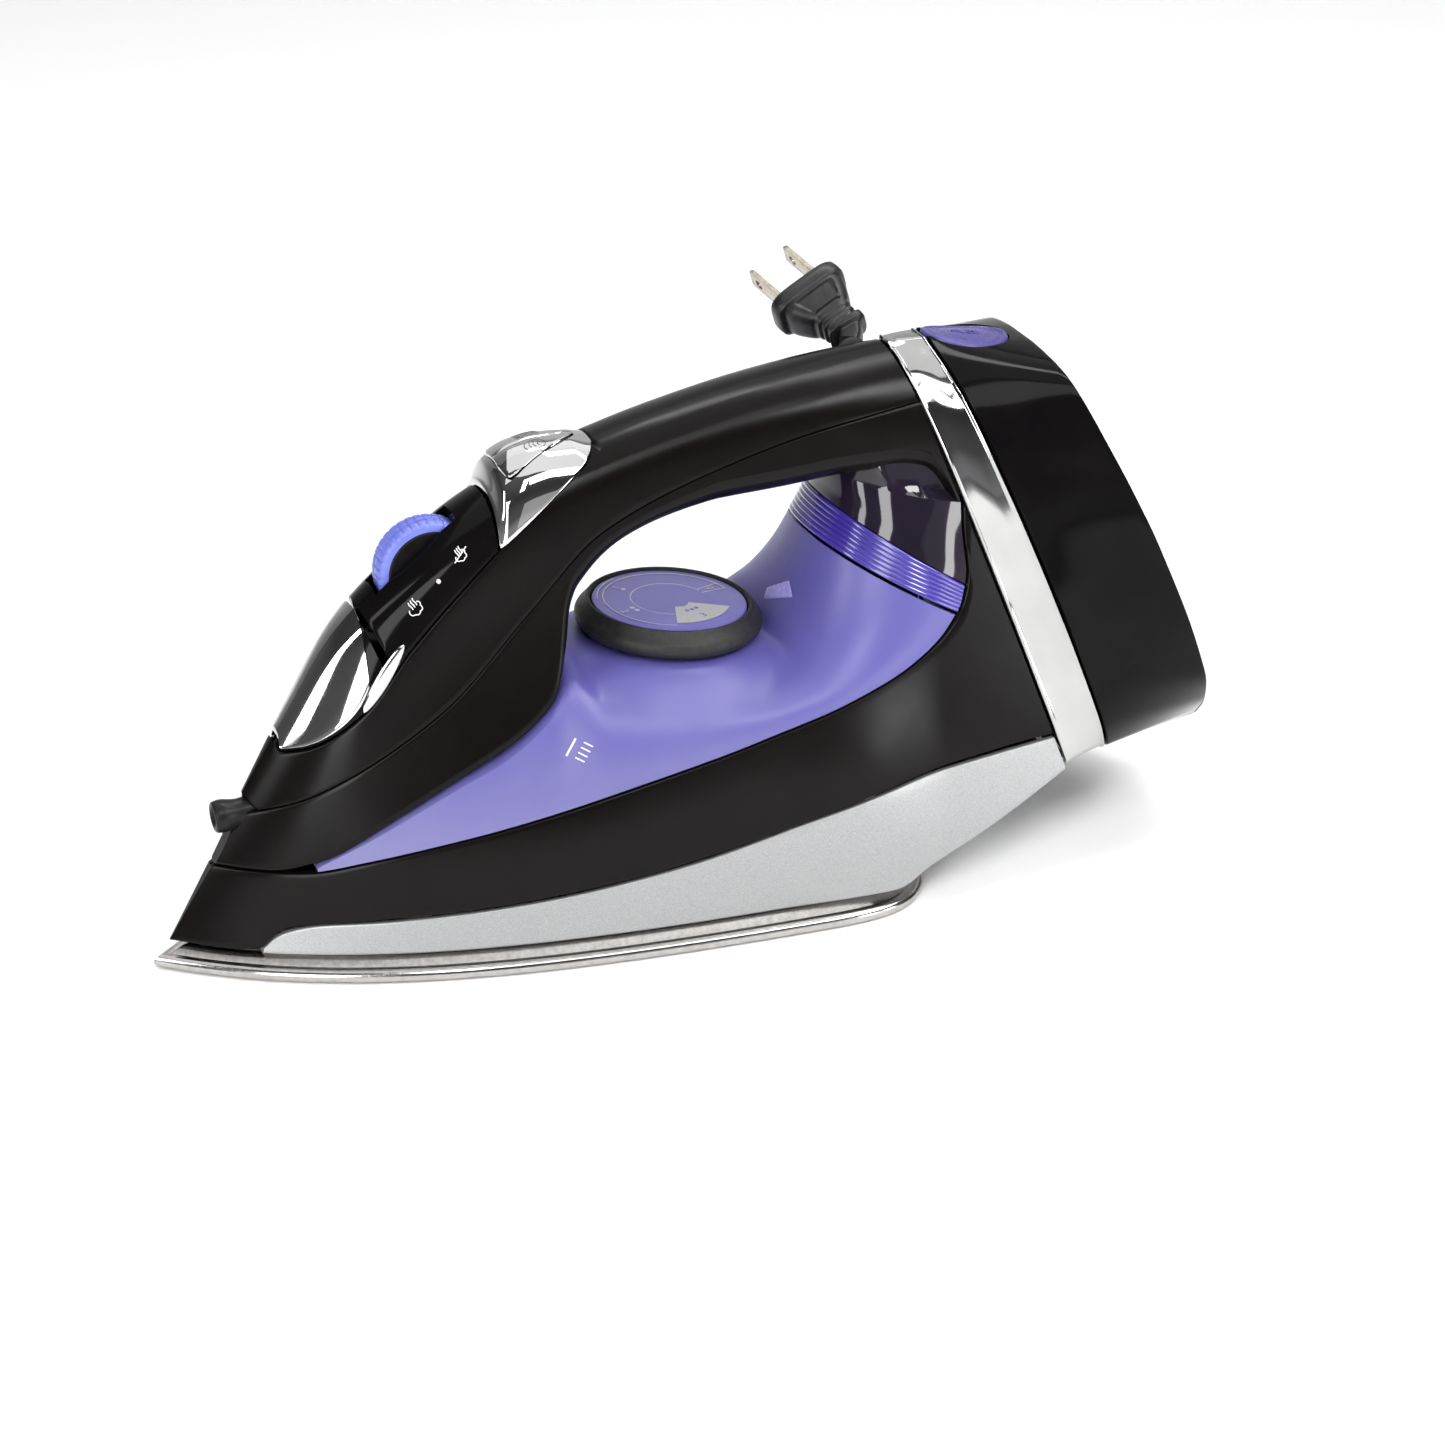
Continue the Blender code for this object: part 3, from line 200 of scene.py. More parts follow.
SIDE_EDGE = [
    (-135.4, 30.1), (-126, 30.3), (-112, 30.9), (-96, 34.2), (-75, 38.6), (-48, 44.4), (-18, 51.7),
    (12, 58.9), (40, 65.9), (60, 72.8), (72, 80.8), (78.3, 89.5), (80.5, 98.5), (80.3, 107.5),
    (80.9, 116.2)]
BASE_FOOT = [
    (-148.4, 8.4), (-139, 8.2), (-128, 8.2), (-119, 14.9), (-95, 17.6), (-60, 20.4), (-25, 24.7),
    (8, 31), (38, 37.6), (62, 42.6), (76, 44.8), (84, 45.8), (90.4, 46.6), (96.4, 47.2), (102.6, 47.7)]
FRONT_RAILS = [
    ((-126.2, 45), (-134.6, 30.4)), ((-112, 50.4), (-122, 30.7)), ((-99, 57.4), (-108, 34.3)),
    ((-85, 65.9), (-90, 44.8)), ((-70, 76.4), (-70, 56.2)), ((-58, 87.4), (-50, 67.5)),
    ((-50, 95.4), (-40, 77.5)), ((-44, 101.4), (-36, 88)), ((-38, 107.4), (-33.5, 98)),
    ((-30, 114.2), (-27.5, 107)), ((-20, 120.6), (-18, 115)), ((-6, 127), (-5, 119.5)),
    ((10, 131.9), (10, 121.7)), ((30, 137), (30, 123)), ((50, 140.8), (50, 124.5)),
    ((62, 141.8), (63, 124.4)), ((71.6, 142.6), (72.0, 122.6)), ((75.0, 133.2), (76.4, 118.2)),
    ((77.9, 124.6), (78.9, 112.6)), ((80.5, 117.0), (80.0, 107.5))]
SKIRT_RAILS = [
    ((-125.4, 8.8), (-125.8, 7.2)), ((-121, 12.6), (-122, 7.2)), ((-111, 15.6), (-113, 7.2)),
    ((-90, 17), (-90, 7.2)), ((-50, 20.3), (-50, 7.2)), ((-10, 26.2), (-10, 7.2)),
    ((28, 34.6), (28, 7.2)), ((52, 39.5), (52, 7.6)), ((64, 41.7), (64, 13.6)),
    ((80, 43.8), (80, 21.8)), ((103.0, 46.4), (106.2, 36.5))]
SIDE_CURVE = rail(SIDE_EDGE)
TANK_RIDGE = [(2.16, (-109.6, 33.2)), (2.5, (-104.5, 36.0)), (3.3, (-90, 43)), (4.05, (-73, 53)),
              (4.6, (-57, 62)), (5.1, (-45, 70)), (5.35, (-37.5, 79)), (5.6, (-30, 80)), (6.05, (-17, 78)),
              (6.65, (2, 76)), (7.2, (18, 74.6)), (7.8, (27, 76.4)), (8.4, (32.5, 82)), (8.9, (36.5, 88.5)),
              (9.7, (40.5, 97)), (10.5, (43.0, 103.6))]
COLLAR_RIDGE = [(10.6, (43.3, 104.4)), (11.0, (45.8, 109)), (11.38, (47.9, 113.6))]
COLUMN_RIDGE = [(11.43, (48.1, 113.9)), (12.2, (48.8, 117)), (13.1, (49.2, 120)), (13.93, (49.5, 122.6))]


def half_width(x, z, top=None):
    """Half width of the body at a point of the side view; top replaces its crown height."""
    behind = max(x - (NOSE_FOOT[0] + (z - NOSE_FOOT[1]) * NOSE_SLOPE), 1e-4)
    spread = (belly(z) + 0.06 * max(x - 20.0, 0.0)) * (1 - math.exp(-behind / NOSE_LENGTH)) ** nose_power(z)
    below = max((top_line(x) if top is None else top) - z, 1e-4)
    crown = crown_width(x) + crown_flare(x) * below + crown_bulge(x) * below * below
    crown *= (1 - math.exp(-below / crown_round(x))) ** 0.56
    spread = max(spread, 0.05)
    crown = max(crown, 0.05)
    return (spread ** -7 + crown ** -7) ** (-1 / 7)


def thinned(x, z, wall):
    """Half width of the body's inside behind a wall."""
    wide = half_width(x, z)
    return max(wide - wall, min(0.3, wide * 0.5))


def side_edge(place, offset):
    """Point of the shared side edge, moved square to it (up or rearward if positive)."""
    here = SIDE_CURVE(place)
    ahead = SIDE_CURVE(place + 0.01) - SIDE_CURVE(place - 0.01)
    ahead = ahead / np.hypot(*ahead)
    return here + np.array((-ahead[1], ahead[0])) * offset


# ---------------------------------------------------------------- mesh making

def add_object(name, data):
    made = bpy.data.objects.new(name, data)
    bpy.context.scene.collection.objects.link(made)
    return made


def build(name, points, faces, look, body, stands_for=(), sharp=38.0):
    """One closed visual piece in drawing millimetres; it rides on a CAD body."""
    mesh = bpy.data.meshes.new(name)
    shift = Vector((CENTRE_X, 0.0, 0.0))
    mesh.from_pydata([tuple((Vector(p) - shift) * MM) for p in points], [], faces)
    made = add_object(name, mesh)
    tidy(made, sharp)
    mesh.materials.append(LOOKS[look][0])
    if body:
        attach(made, body)
    for node in ([stands_for] if isinstance(stands_for, str) else stands_for):
        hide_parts(node)
    return made


def tidy(made, sharp=38.0):
    """Turns all faces outward and shades smoothly, with real corners kept."""
    shape = bmesh.new()
    shape.from_mesh(made.data)
    bmesh.ops.recalc_face_normals(shape, faces=shape.faces)
    shape.to_mesh(made.data)
    shape.free()
    made.data.shade_smooth()
    made.data.set_sharp_from_angle(angle=math.radians(sharp))


def carve(target, points, faces):
    """Subtracts a solid from a piece and keeps the result as its mesh."""
    tool = build("cutting_tool", points, faces, "steel", None)
    modifier = target.modifiers.new("cut", "BOOLEAN")
    modifier.operation = "DIFFERENCE"
    modifier.object = tool
    bpy.context.view_layer.update()
    seen = target.evaluated_get(bpy.context.evaluated_depsgraph_get())
    result = bpy.data.meshes.new_from_object(seen)
    target.modifiers.remove(modifier)
    target.data = result
    bpy.data.objects.remove(tool)
    while len(result.materials) > 1:
        result.materials.pop()
    tidy(target)


def skin(loops, round_trip=False):
    """Faces between loops of equal length, with end caps or joined into a ring."""
    count = len(loops[0])
    points = [p for loop in loops for p in loop]
    faces = []
    spans = len(loops) if round_trip else len(loops) - 1
    for i in range(spans):
        here = i * count
        there = ((i + 1) % len(loops)) * count
        for j in range(count):
            k = (j + 1) % count
            faces.append((here + j, here + k, there + k, there + j))
    if not round_trip:
        faces.append(tuple(range(count)))
        faces.append(tuple(range((len(loops) - 1) * count, len(loops) * count)))
    return points, faces


def shifted(faces, first):
    """Faces whose points follow others in a longer list."""
    return [tuple(k + first for k in face) for face in faces]


def soften(loop, corners, radius, steps=3):
    """A section with the named corners rounded, by up to a radius."""
    count = len(loop)
    result = []
    for i, point in enumerate(loop):
        if i not in corners:
            result.append(tuple(point))
            continue
        here = Vector(point)
        before = Vector(loop[i - 1]) - here
        after = Vector(loop[(i + 1) % count]) - here
        reach_b = min(radius, before.length * 0.45)
        reach_a = min(radius, after.length * 0.45)
        start = here + (before.normalized() * reach_b if before.length > 1e-9 else Vector())
        end = here + (after.normalized() * reach_a if after.length > 1e-9 else Vector())
        for k in range(steps + 1):
            t = k / steps
            result.append(tuple(start * (1 - t) ** 2 + here * 2 * t * (1 - t) + end * t * t))
    return result


def frame_of(axis):
    """Unit axis and two directions square to it."""
    axis = Vector(axis).normalized()
    side = axis.cross(Vector((0.0, 0.0, 1.0)))
    if side.length < 0.01:
        side = Vector((0.0, 1.0, 0.0))
    side.normalize()
    return axis, side, side.cross(axis)


def turned(profile, foot, axis, sides=72, hollow=False):
    """Profile of (radius, height) turned about an axis."""
    axis, side, other = frame_of(axis)
    foot = Vector(foot)
    loops = []
    for radius, height in profile:
        loops.append([foot + axis * height + (side * math.cos(t) + other * math.sin(t)) * radius
                      for t in turns(sides)])
    return skin(loops, round_trip=hollow)


def swept(path, radius, sides=8):
    """Round rod along a path of points."""
    path = [Vector(p) for p in path]
    loops = []
    _, side, _ = frame_of(path[1] - path[0])
    for i, centre in enumerate(path):
        ahead = (path[min(i + 1, len(path) - 1)] - path[max(i - 1, 0)]).normalized()
        side = (side - ahead * side.dot(ahead)).normalized()
        other = side.cross(ahead)
        loops.append([centre + (side * math.cos(t) + other * math.sin(t)) * radius for t in turns(sides)])
    return skin(loops)


def arc(profile, centre, radius, start, end, steps=6):
    """Adds an arc to a profile of (a, b) points; angles in degrees."""
    for i in range(steps + 1):
        turn = math.radians(start + (end - start) * i / steps)
        profile.append((centre[0] + radius * math.cos(turn), centre[1] + radius * math.sin(turn)))
    return profile


def both_sides(outer, inner, crown, roof):
    """Closed section from the near side's edge over to the far side's and back inside."""
    return mirrored(outer) + [crown] + outer[::-1] + inner + [roof] + mirrored(inner[::-1])


def stations(pairs, steps):
    """Pairs of an upper and a lower point, at equal steps along two rails."""
    upper = rail([p[0] for p in pairs])
    lower = rail([p[1] for p in pairs])
    last = len(pairs) - 1
    return [(upper(last * i / steps), lower(last * i / steps)) for i in range(steps + 1)]


def dome_stations(ridge_points, steps):
    """Pairs of a point on the shared side edge and one on the ridge, from front to rear."""
    ridge = smooth_line(ridge_points)
    first, last = ridge_points[0][0], ridge_points[-1][0]
    places = [first + (last - first) * i / steps for i in range(steps + 1)]
    return [(side_edge(p, GAP), ridge(p)) for p in places]


# ---------------------------------------------------------------- materials

def principled(name):
    made = bpy.data.materials.new(name)
    made.use_nodes = True
    return made, made.node_tree, made.node_tree.nodes["Principled BSDF"]


def finish(name, slot, colour, second=None, rough=(0.3, 0.4), metallic=0.0, mottle=300.0, rough_scale=900.0,
           bump_scale=2500.0, bump=0.0, coat=0.0, coat_rough=0.04, **sockets):
    """Procedural surface: two colours mottled together, uneven gloss and a fine relief."""
    made, tree, shader = principled(name)
    nodes, links = tree.nodes, tree.links
    place = nodes.new("ShaderNodeTexCoord")

    def noise(scale, detail):
        node = nodes.new("ShaderNodeTexNoise")
        node.inputs["Scale"].default_value = scale
        node.inputs["Detail"].default_value = detail
        node.inputs["Roughness"].default_value = 0.55
        links.new(place.outputs["Object"], node.inputs["Vector"])
        return node

    ramp = nodes.new("ShaderNodeValToRGB")
    ramp.color_ramp.elements[0].position = 0.35
    ramp.color_ramp.elements[0].color = (*colour, 1.0)
    ramp.color_ramp.elements[1].position = 0.65
    ramp.color_ramp.elements[1].color = (*(second or [min(c * 1.15, 1.0) for c in colour]), 1.0)
    links.new(noise(mottle, 3.0).outputs["Fac"], ramp.inputs["Fac"])
    links.new(ramp.outputs["Color"], shader.inputs["Base Color"])

    spread = nodes.new("ShaderNodeMapRange")
    spread.inputs["From Min"].default_value = 0.3
    spread.inputs["From Max"].default_value = 0.7
    spread.inputs["To Min"].default_value = rough[0]
    spread.inputs["To Max"].default_value = rough[1]
    links.new(noise(rough_scale, 2.0).outputs["Fac"], spread.inputs["Value"])
    links.new(spread.outputs["Result"], shader.inputs["Roughness"])

    if bump > 0.0:
        relief = nodes.new("ShaderNodeBump")
        relief.inputs["Strength"].default_value = 1.0
        relief.inputs["Distance"].default_value = bump * MM
        links.new(noise(bump_scale, 2.0).outputs["Fac"], relief.inputs["Height"])
        links.new(relief.outputs["Normal"], shader.inputs["Normal"])
    shader.inputs["Metallic"].default_value = metallic
    shader.inputs["Coat Weight"].default_value = coat
    shader.inputs["Coat Roughness"].default_value = coat_rough
    shader.inputs["IOR"].default_value = 1.5
    for socket, value in sockets.items():
        shader.inputs[socket.replace("_", " ")].default_value = value
    LOOKS[name] = (made, slot)


def make_looks():
    finish("body_black", "black_gloss", (0.0034, 0.0027, 0.0025), (0.0040, 0.0032, 0.0029),
           rough=(0.19, 0.22), mottle=60, rough_scale=140, bump=0.0008, bump_scale=1400,
           Specular_IOR_Level=0.14)
    finish("rear_black", "black_gloss", (0.003, 0.0026, 0.003), (0.0045, 0.004, 0.004), rough=(0.07, 0.11),
           mottle=60, rough_scale=160, bump=0.0015, bump_scale=900, Specular_IOR_Level=0.09)
    finish("satin_black", "black_satin", (0.006, 0.0055, 0.0055), (0.010, 0.009, 0.009), rough=(0.3, 0.4),
           bump=0.01, bump_scale=3500, Specular_IOR_Level=0.2)
    finish("smoked", "smoked", (0.010, 0.007, 0.013), (0.018, 0.012, 0.026), rough=(0.05, 0.08), mottle=25,
           rough_scale=40, coat=0.3, coat_rough=0.03, Specular_IOR_Level=0.35)
    finish("tank_violet", "purple_clear", (0.115, 0.105, 0.34), (0.125, 0.115, 0.36), rough=(0.36, 0.44),
           mottle=30, rough_scale=60, bump=0.002, bump_scale=2600, coat=0.12, coat_rough=0.3,
           Subsurface_Weight=0.25, Subsurface_Radius=(0.6, 0.5, 1.0), Subsurface_Scale=0.004)
    finish("collar_violet", "purple", (0.04, 0.026, 0.24), (0.065, 0.045, 0.32), rough=(0.05, 0.08),
           mottle=50, rough_scale=60, coat=0.8, coat_rough=0.03)
    finish("dial_violet", "purple", (0.13, 0.118, 0.39), (0.145, 0.132, 0.42), rough=(0.3, 0.38),
           mottle=120, bump=0.003, bump_scale=2400, coat=0.2, coat_rough=0.15)
    finish("wheel_violet", "purple", (0.115, 0.145, 0.52), (0.135, 0.165, 0.56), rough=(0.3, 0.4),
           mottle=200, bump=0.01, bump_scale=2600, coat=0.2, coat_rough=0.2)
    finish("button_violet", "purple", (0.062, 0.055, 0.21), (0.07, 0.062, 0.23), rough=(0.24, 0.3),
           mottle=150, bump=0.003, bump_scale=2400, coat=0.15, coat_rough=0.1, Specular_IOR_Level=0.3)
    finish("chrome", "chrome", (0.62, 0.62, 0.615), (0.66, 0.66, 0.655), rough=(0.035, 0.06), metallic=1.0,
           mottle=80, rough_scale=60, bump=0.0006, bump_scale=500)
    finish("band_chrome", "chrome", (0.45, 0.45, 0.445), (0.49, 0.49, 0.485), rough=(0.05, 0.08),
           metallic=1.0, mottle=80, rough_scale=60, bump=0.0006, bump_scale=500)
    finish("silver_paint", "silver", (0.31, 0.313, 0.316), (0.39, 0.393, 0.396), rough=(0.3, 0.42),
           metallic=0.6, mottle=2600, rough_scale=3200, bump=0.02, bump_scale=3400, coat=0.15,
           coat_rough=0.2)
    finish("sole_steel", "stainless", (0.44, 0.42, 0.40), (0.52, 0.50, 0.48), rough=(0.14, 0.2),
           metallic=1.0, mottle=500, rough_scale=1200, bump=0.004, bump_scale=3000)
    finish("cast_aluminium", "aluminium", (0.50, 0.50, 0.51), (0.60, 0.60, 0.60), rough=(0.42, 0.55),
           metallic=1.0, mottle=600, bump=0.06, bump_scale=1500)
    finish("steel", "steel", (0.48, 0.48, 0.50), (0.58, 0.58, 0.59), rough=(0.24, 0.34), metallic=1.0,
           mottle=700, bump=0.004)
    finish("brass", "brass", (0.60, 0.44, 0.20), (0.68, 0.52, 0.26), rough=(0.26, 0.36), metallic=1.0,
           mottle=600, bump=0.004)
    finish("nickel", "brass", (0.38, 0.345, 0.285), (0.46, 0.42, 0.35), rough=(0.2, 0.3), metallic=1.0,
           mottle=500, bump=0.006, bump_scale=2200)
    finish("rubber", "rubber", (0.010, 0.010, 0.0105), (0.016, 0.0155, 0.0155), rough=(0.46, 0.58),
           mottle=500, bump=0.02, bump_scale=3200, Specular_IOR_Level=0.35)
    finish("vinyl", "rubber", (0.008, 0.008, 0.009), (0.014, 0.014, 0.015), rough=(0.3, 0.42), mottle=400,
           bump=0.03, bump_scale=1500, Specular_IOR_Level=0.4)
    finish("white_plastic", "white", (0.66, 0.65, 0.61), (0.74, 0.73, 0.70), rough=(0.4, 0.5), mottle=200,
           bump=0.01)
    finish("white_print", "white", (0.72, 0.72, 0.72), (0.8, 0.8, 0.8), rough=(0.4, 0.5), mottle=900)
    finish("silver_print", "white", (0.50, 0.50, 0.52), (0.58, 0.58, 0.60), rough=(0.3, 0.42), metallic=0.5,
           mottle=1500)
    finish("engraving", "black_satin", (0.10, 0.10, 0.105), (0.16, 0.16, 0.165), rough=(0.35, 0.45),
           metallic=0.6, mottle=900)
    finish("lift_violet", "purple_clear", (0.30, 0.27, 0.66), (0.34, 0.31, 0.70), rough=(0.2, 0.3),
           mottle=200, bump=0.003, coat=0.5, coat_rough=0.1)


def paint_tank_light_and_shade(material, low_z, high_z, painted_light_tone, painted_shade_tone):
    """Painted light and shade on the tank: its base colour is paler low down, as painted light coming
    through its thinner wall, and darker higher up, as painted shade.
    """
    tree = material.node_tree
    nodes, links = tree.nodes, tree.links
    shader = nodes["Principled BSDF"]
    place = nodes.new("ShaderNodeTexCoord")
    split = nodes.new("ShaderNodeSeparateXYZ")
    links.new(place.outputs["Object"], split.inputs["Vector"])
    cloud = nodes.new("ShaderNodeTexNoise")
    cloud.inputs["Scale"].default_value = 22.0
    cloud.inputs["Detail"].default_value = 2.0
    links.new(place.outputs["Object"], cloud.inputs["Vector"])
    wave = nodes.new("ShaderNodeMath")
    wave.operation = "MULTIPLY_ADD"
    wave.inputs[1].default_value = 0.030
    links.new(cloud.outputs["Fac"], wave.inputs[0])
    links.new(split.outputs["Z"], wave.inputs[2])
    # Height mask of the painted light and shade: 0 low down, where the paler painted light goes, 1 higher
    # up, where the darker painted shade goes.
    level = nodes.new("ShaderNodeMapRange")
    level.interpolation_type = "SMOOTHSTEP"
    level.inputs["From Min"].default_value = low_z * MM
    level.inputs["From Max"].default_value = high_z * MM
    links.new(wave.outputs["Value"], level.inputs["Value"])
    mix = nodes.new("ShaderNodeMix")
    mix.data_type = "RGBA"
    mix.inputs["A"].default_value = (*painted_light_tone, 1.0)
    mix.inputs["B"].default_value = (*painted_shade_tone, 1.0)
    links.new(level.outputs["Result"], mix.inputs["Factor"])
    old = shader.inputs["Base Color"].links[0].from_socket
    blend = nodes.new("ShaderNodeMix")
    blend.data_type = "RGBA"
    blend.inputs["Factor"].default_value = 0.75
    links.new(old, blend.inputs["A"])
    links.new(mix.outputs["Result"], blend.inputs["B"])
    links.new(blend.outputs["Result"], shader.inputs["Base Color"])


# ---------------------------------------------------------------- sole and skirt

def sole_outline(inset, z):
    """Closed plan outline of the sole, drawn in by an inset."""
    nose = NOSE_X + 1.5 * inset
    heel = HEEL_X - inset
    side = []
    for i in range(SOLE_SEGMENTS + 1):
        x = nose + (heel - nose) * (1 - math.cos(math.pi * i / SOLE_SEGMENTS)) / 2
        wide = (SOLE_HALF - inset) * (1 - math.exp(-(x - nose) / NOSE_LENGTH))
        back = max(x - HEEL_START, 0.0) / (heel - HEEL_START)
        wide *= max(1 - back ** HEEL_POWER, 0.0) ** (1 / HEEL_POWER)
        side.append((x, wide))
    return [(x, y, z) for x, y in side] + [(x, -y, z) for x, y in reversed(side[1:-1])]


def make_sole():
    rim = [(3.2, 0.0), (2.0, 0.06)]
    arc(rim, (2.05, 2.05), 2.0, 255, 90, 12)
    rim += [(2.7, 3.95), (3.0, 3.75), (3.4, 3.75), (4.3, 4.5), (5.4, 5.5), (6.0, 6.0), (6.6, 6.2),
            (7.2, 6.2)]
    rim += [(7.6, 5.8), (7.6, 1.3)]
    loops = [sole_outline(inset, z) for inset, z in rim]
    sole = build("sole_plate_visual", *skin(loops), "sole_steel", "iron", "soleplate")
    vents = [(-112.0, 0.0)]
    for row, x in enumerate((-98.0, -84.0, -68.0, -50.0)):
        aside = 9.0 + 5.0 * row
        vents += [(x, aside), (x, -aside)]
    vents += [(30.0, 24.0), (30.0, -24.0)]
    points, faces = [], []
    for x, y in vents:
        more, sides = turned([(2.9, -1), (2.9, 0.0), (2.0, 0.9), (2.0, 3.0)], (x, y, 0), (0, 0, 1), 24)
        faces += shifted(sides, len(points))
        points += more
    carve(sole, points, faces)


def channel(top, foot, wall, rounding, opened, side_points, edge):
    """Fine section of a trough: down one side, across its floor, up the other, and back inside."""
    run = foot - top
    length = float(np.hypot(*run))
    down = run / length
    rounding = min(rounding, 0.7 * length)
    straight = length - rounding
    outer = []
    for i in range(side_points):
        x, z = top + down * straight * i / (side_points - 1)
        outer.append((x, half_width(x, z), z))
    wide = outer[-1][1]
    round_in = min(rounding, wide * 0.7)
    for i in range(1, 8):
        turn = math.pi / 2 * i / 7
        x, z = top + down * (straight + rounding * math.sin(turn))
        outer.append((x, wide - round_in * (1 - math.cos(turn)), z))
    inner = []
    depth = max((length - wall) * opened, 0.25)
    for i in range(6):
        gone = depth * i / 5
        x, z = top + down * gone
        w = thinned(x, z, wall)
        if gone > straight - 1.0:
            w = min(w, max(wide - round_in - 0.2, 0.3 * wide))
        inner.append((x, w, z))
    loop = mirrored(outer) + outer[::-1] + inner + mirrored(inner[::-1])
    last = 2 * len(outer)
    return soften(loop, {0, last - 1, last, len(loop) - 1}, edge)


def make_skirt():
    loops = []
    for top, foot in stations(SKIRT_RAILS, 130):
        loops.append(channel(top, foot, 2.0, 0.7, ease(0, 3, top[0] + 125.8), 10, 0.45))
    skirt = build("heat_skirt_visual", *skin(loops), "silver_paint", "iron", "heat_skirt")
    sole_edge = 6.6
    carve(skirt, *skin([sole_outline(sole_edge, 0.0), sole_outline(sole_edge, 30.0)]))


# ---------------------------------------------------------------- black shells

def make_front_shell():
    loops = []
    for top, foot in stations(FRONT_RAILS, 200):
        top[1] = min(upper_seam(top[0]) - GAP * 1.1, top[1] + 1.5)
        opened = ease(6.0, 16.0, top[0] + 126.4)
        handle = ease(-44.0, -26.0, foot[0])
        loops.append(channel(top, foot, WALL, 1.2 + 6.3 * handle, opened, 14, 0.4))
    build("front_shell_visual", *skin(loops), "body_black", "iron", "front_shell")


def make_handle_cover():
    """The crown of the handle; ahead of the strip's end its top is a recessed deck."""
    loops = []
    steps = 190
    rows = 13
    front, rear = -125.2, 67.0
    for i in range(steps + 1):
        x_crown = front + (rear - front) * i / steps
        x_seam = x_crown + 4.8 * ease(10, rear, x_crown) + 3.0 * (1 - ease(-125, -105, x_crown))
        seam = np.array((x_seam, upper_seam(x_seam)))
        on_deck = DECK_START < x_crown < STRIP_END
        brim_z = strip_edge(x_crown) if on_deck else top_line(x_crown)
        crown = np.array((x_crown, brim_z))
        outer = []
        for j in range(rows + 1):
            t = j / rows if on_deck else 0.9 * (j / rows) ** 0.8
            x, z = seam + (crown - seam) * t
            outer.append((x, half_width(x, z), z))
        if on_deck:
            deck = brim_z - 0.7
            rim = outer[-1][1]
            across = [(x_crown, rim - 0.9, brim_z), (x_crown, rim - 1.1, deck)]
            across += [(x_crown, rim * t, deck) for t in (0.8, 0.6, 0.4, 0.2)]
            top_z = deck
        else:
            across = []
            for t in (0.925, 0.945, 0.96, 0.975, 0.988, 0.996):
                x, z = seam + (crown - seam) * t
                across.append((x, half_width(x, z), z))
            top_z = brim_z
        outer += across
        opened = ease(-119.0, -108.0, x_crown)
        roof_z = top_z - WALL - (top_z - seam[1] - WALL - 0.3) * (1 - opened)
        roof = np.array((x_crown, roof_z))
        inner = []
        for t in (0.0, 0.15, 0.3, 0.45, 0.6, 0.72, 0.85):
            x, z = seam + (roof - seam) * t
            inner.append((x, thinned(x, z, WALL), z))
        loop = both_sides(outer, inner, (x_crown, 0.0, top_z), (x_crown, 0.0, roof_z))
        last = 2 * len(outer) + 1
        loops.append(soften(loop, {0, rows, last - rows - 1, last - 1, last, len(loop) - 1}, 0.35))
    build("handle_cover_visual", *skin(loops), "body_black", "iron", "handle_cover")


def make_base_shell():
    """A long shell with a rounded brow along its top edge and a floor across its inside."""
    loops = []
    foot_curve = rail(BASE_FOOT)
    steps = 180
    floor_line = smooth_line([(-150, 22), (-20, 27.6), (30, 38), (60, 45.5), (110, 52)])
    last_place = len(SIDE_EDGE) - 1
    for i in range(steps + 1):
        place = last_place * i / steps
        top = side_edge(place, -GAP / 2)
        foot = foot_curve(place)
        run = foot - top
        length = float(np.hypot(*run))
        down = run / length
        opened = ease(0.5, 5.0, top[0] + 135.4)
        level = (top[1] - floor_line(foot[0] - down[0] * 6)) / -down[1]
        level = min(max(level, 0.3), length - WALL - 1.0)
        upper_depth = max(level * opened, 0.25)
        lower_depth = length - max((length - level - WALL) * opened, 0.25)
        brow = 0.4 + 2.2 * ease(9.0, 11.5, place)

        def outside(gone):
            x, z = top + down * gone
            w = half_width(x, z)
            short = max(brow - gone, 0.0)
            return (x, w - (brow - math.sqrt(max(brow ** 2 - short ** 2, 0.0))) * min(1.0, w / 6.0), z)

        def inside(gone):
            x, z = top + down * gone
            return (x, thinned(x, z, WALL + brow * 0.4), z)

        shares = [brow * (1 - math.cos(math.pi / 2 * k / 4)) for k in range(5)]
        shares += [brow + (length - brow) * k / 15 for k in range(1, 16)]
        outer = [outside(g) for g in shares]
        inner_low = [inside(length), inside(lower_depth)]
        inner_high = [inside(upper_depth), inside(upper_depth * 0.5), inside(0.0)]
        side = outer + inner_low
        loop = mirrored(side) + side[::-1] + inner_high[::-1] + mirrored(inner_high)
        feet = {len(outer) - 1, len(outer) + 4}
        loops.append(soften(loop, feet, 0.4))
    build("base_shell_visual", *skin(loops), "body_black", "iron", "base_shell")


# ---------------------------------------------------------------- tank, collar, column

def boss(x, y, z):
    """The tank's top rises under the dial to a round seat that flares back into the dome."""
    away = math.hypot(x - DIAL_X, y)
    seat = DIAL_FOOT_Z - 0.8 - (x - DIAL_X) * math.tan(DIAL_TILT)
    share = 1 - ease(24.5, 40.0, away)
    return z + max(seat - z, 0.0) * share ** 1.4


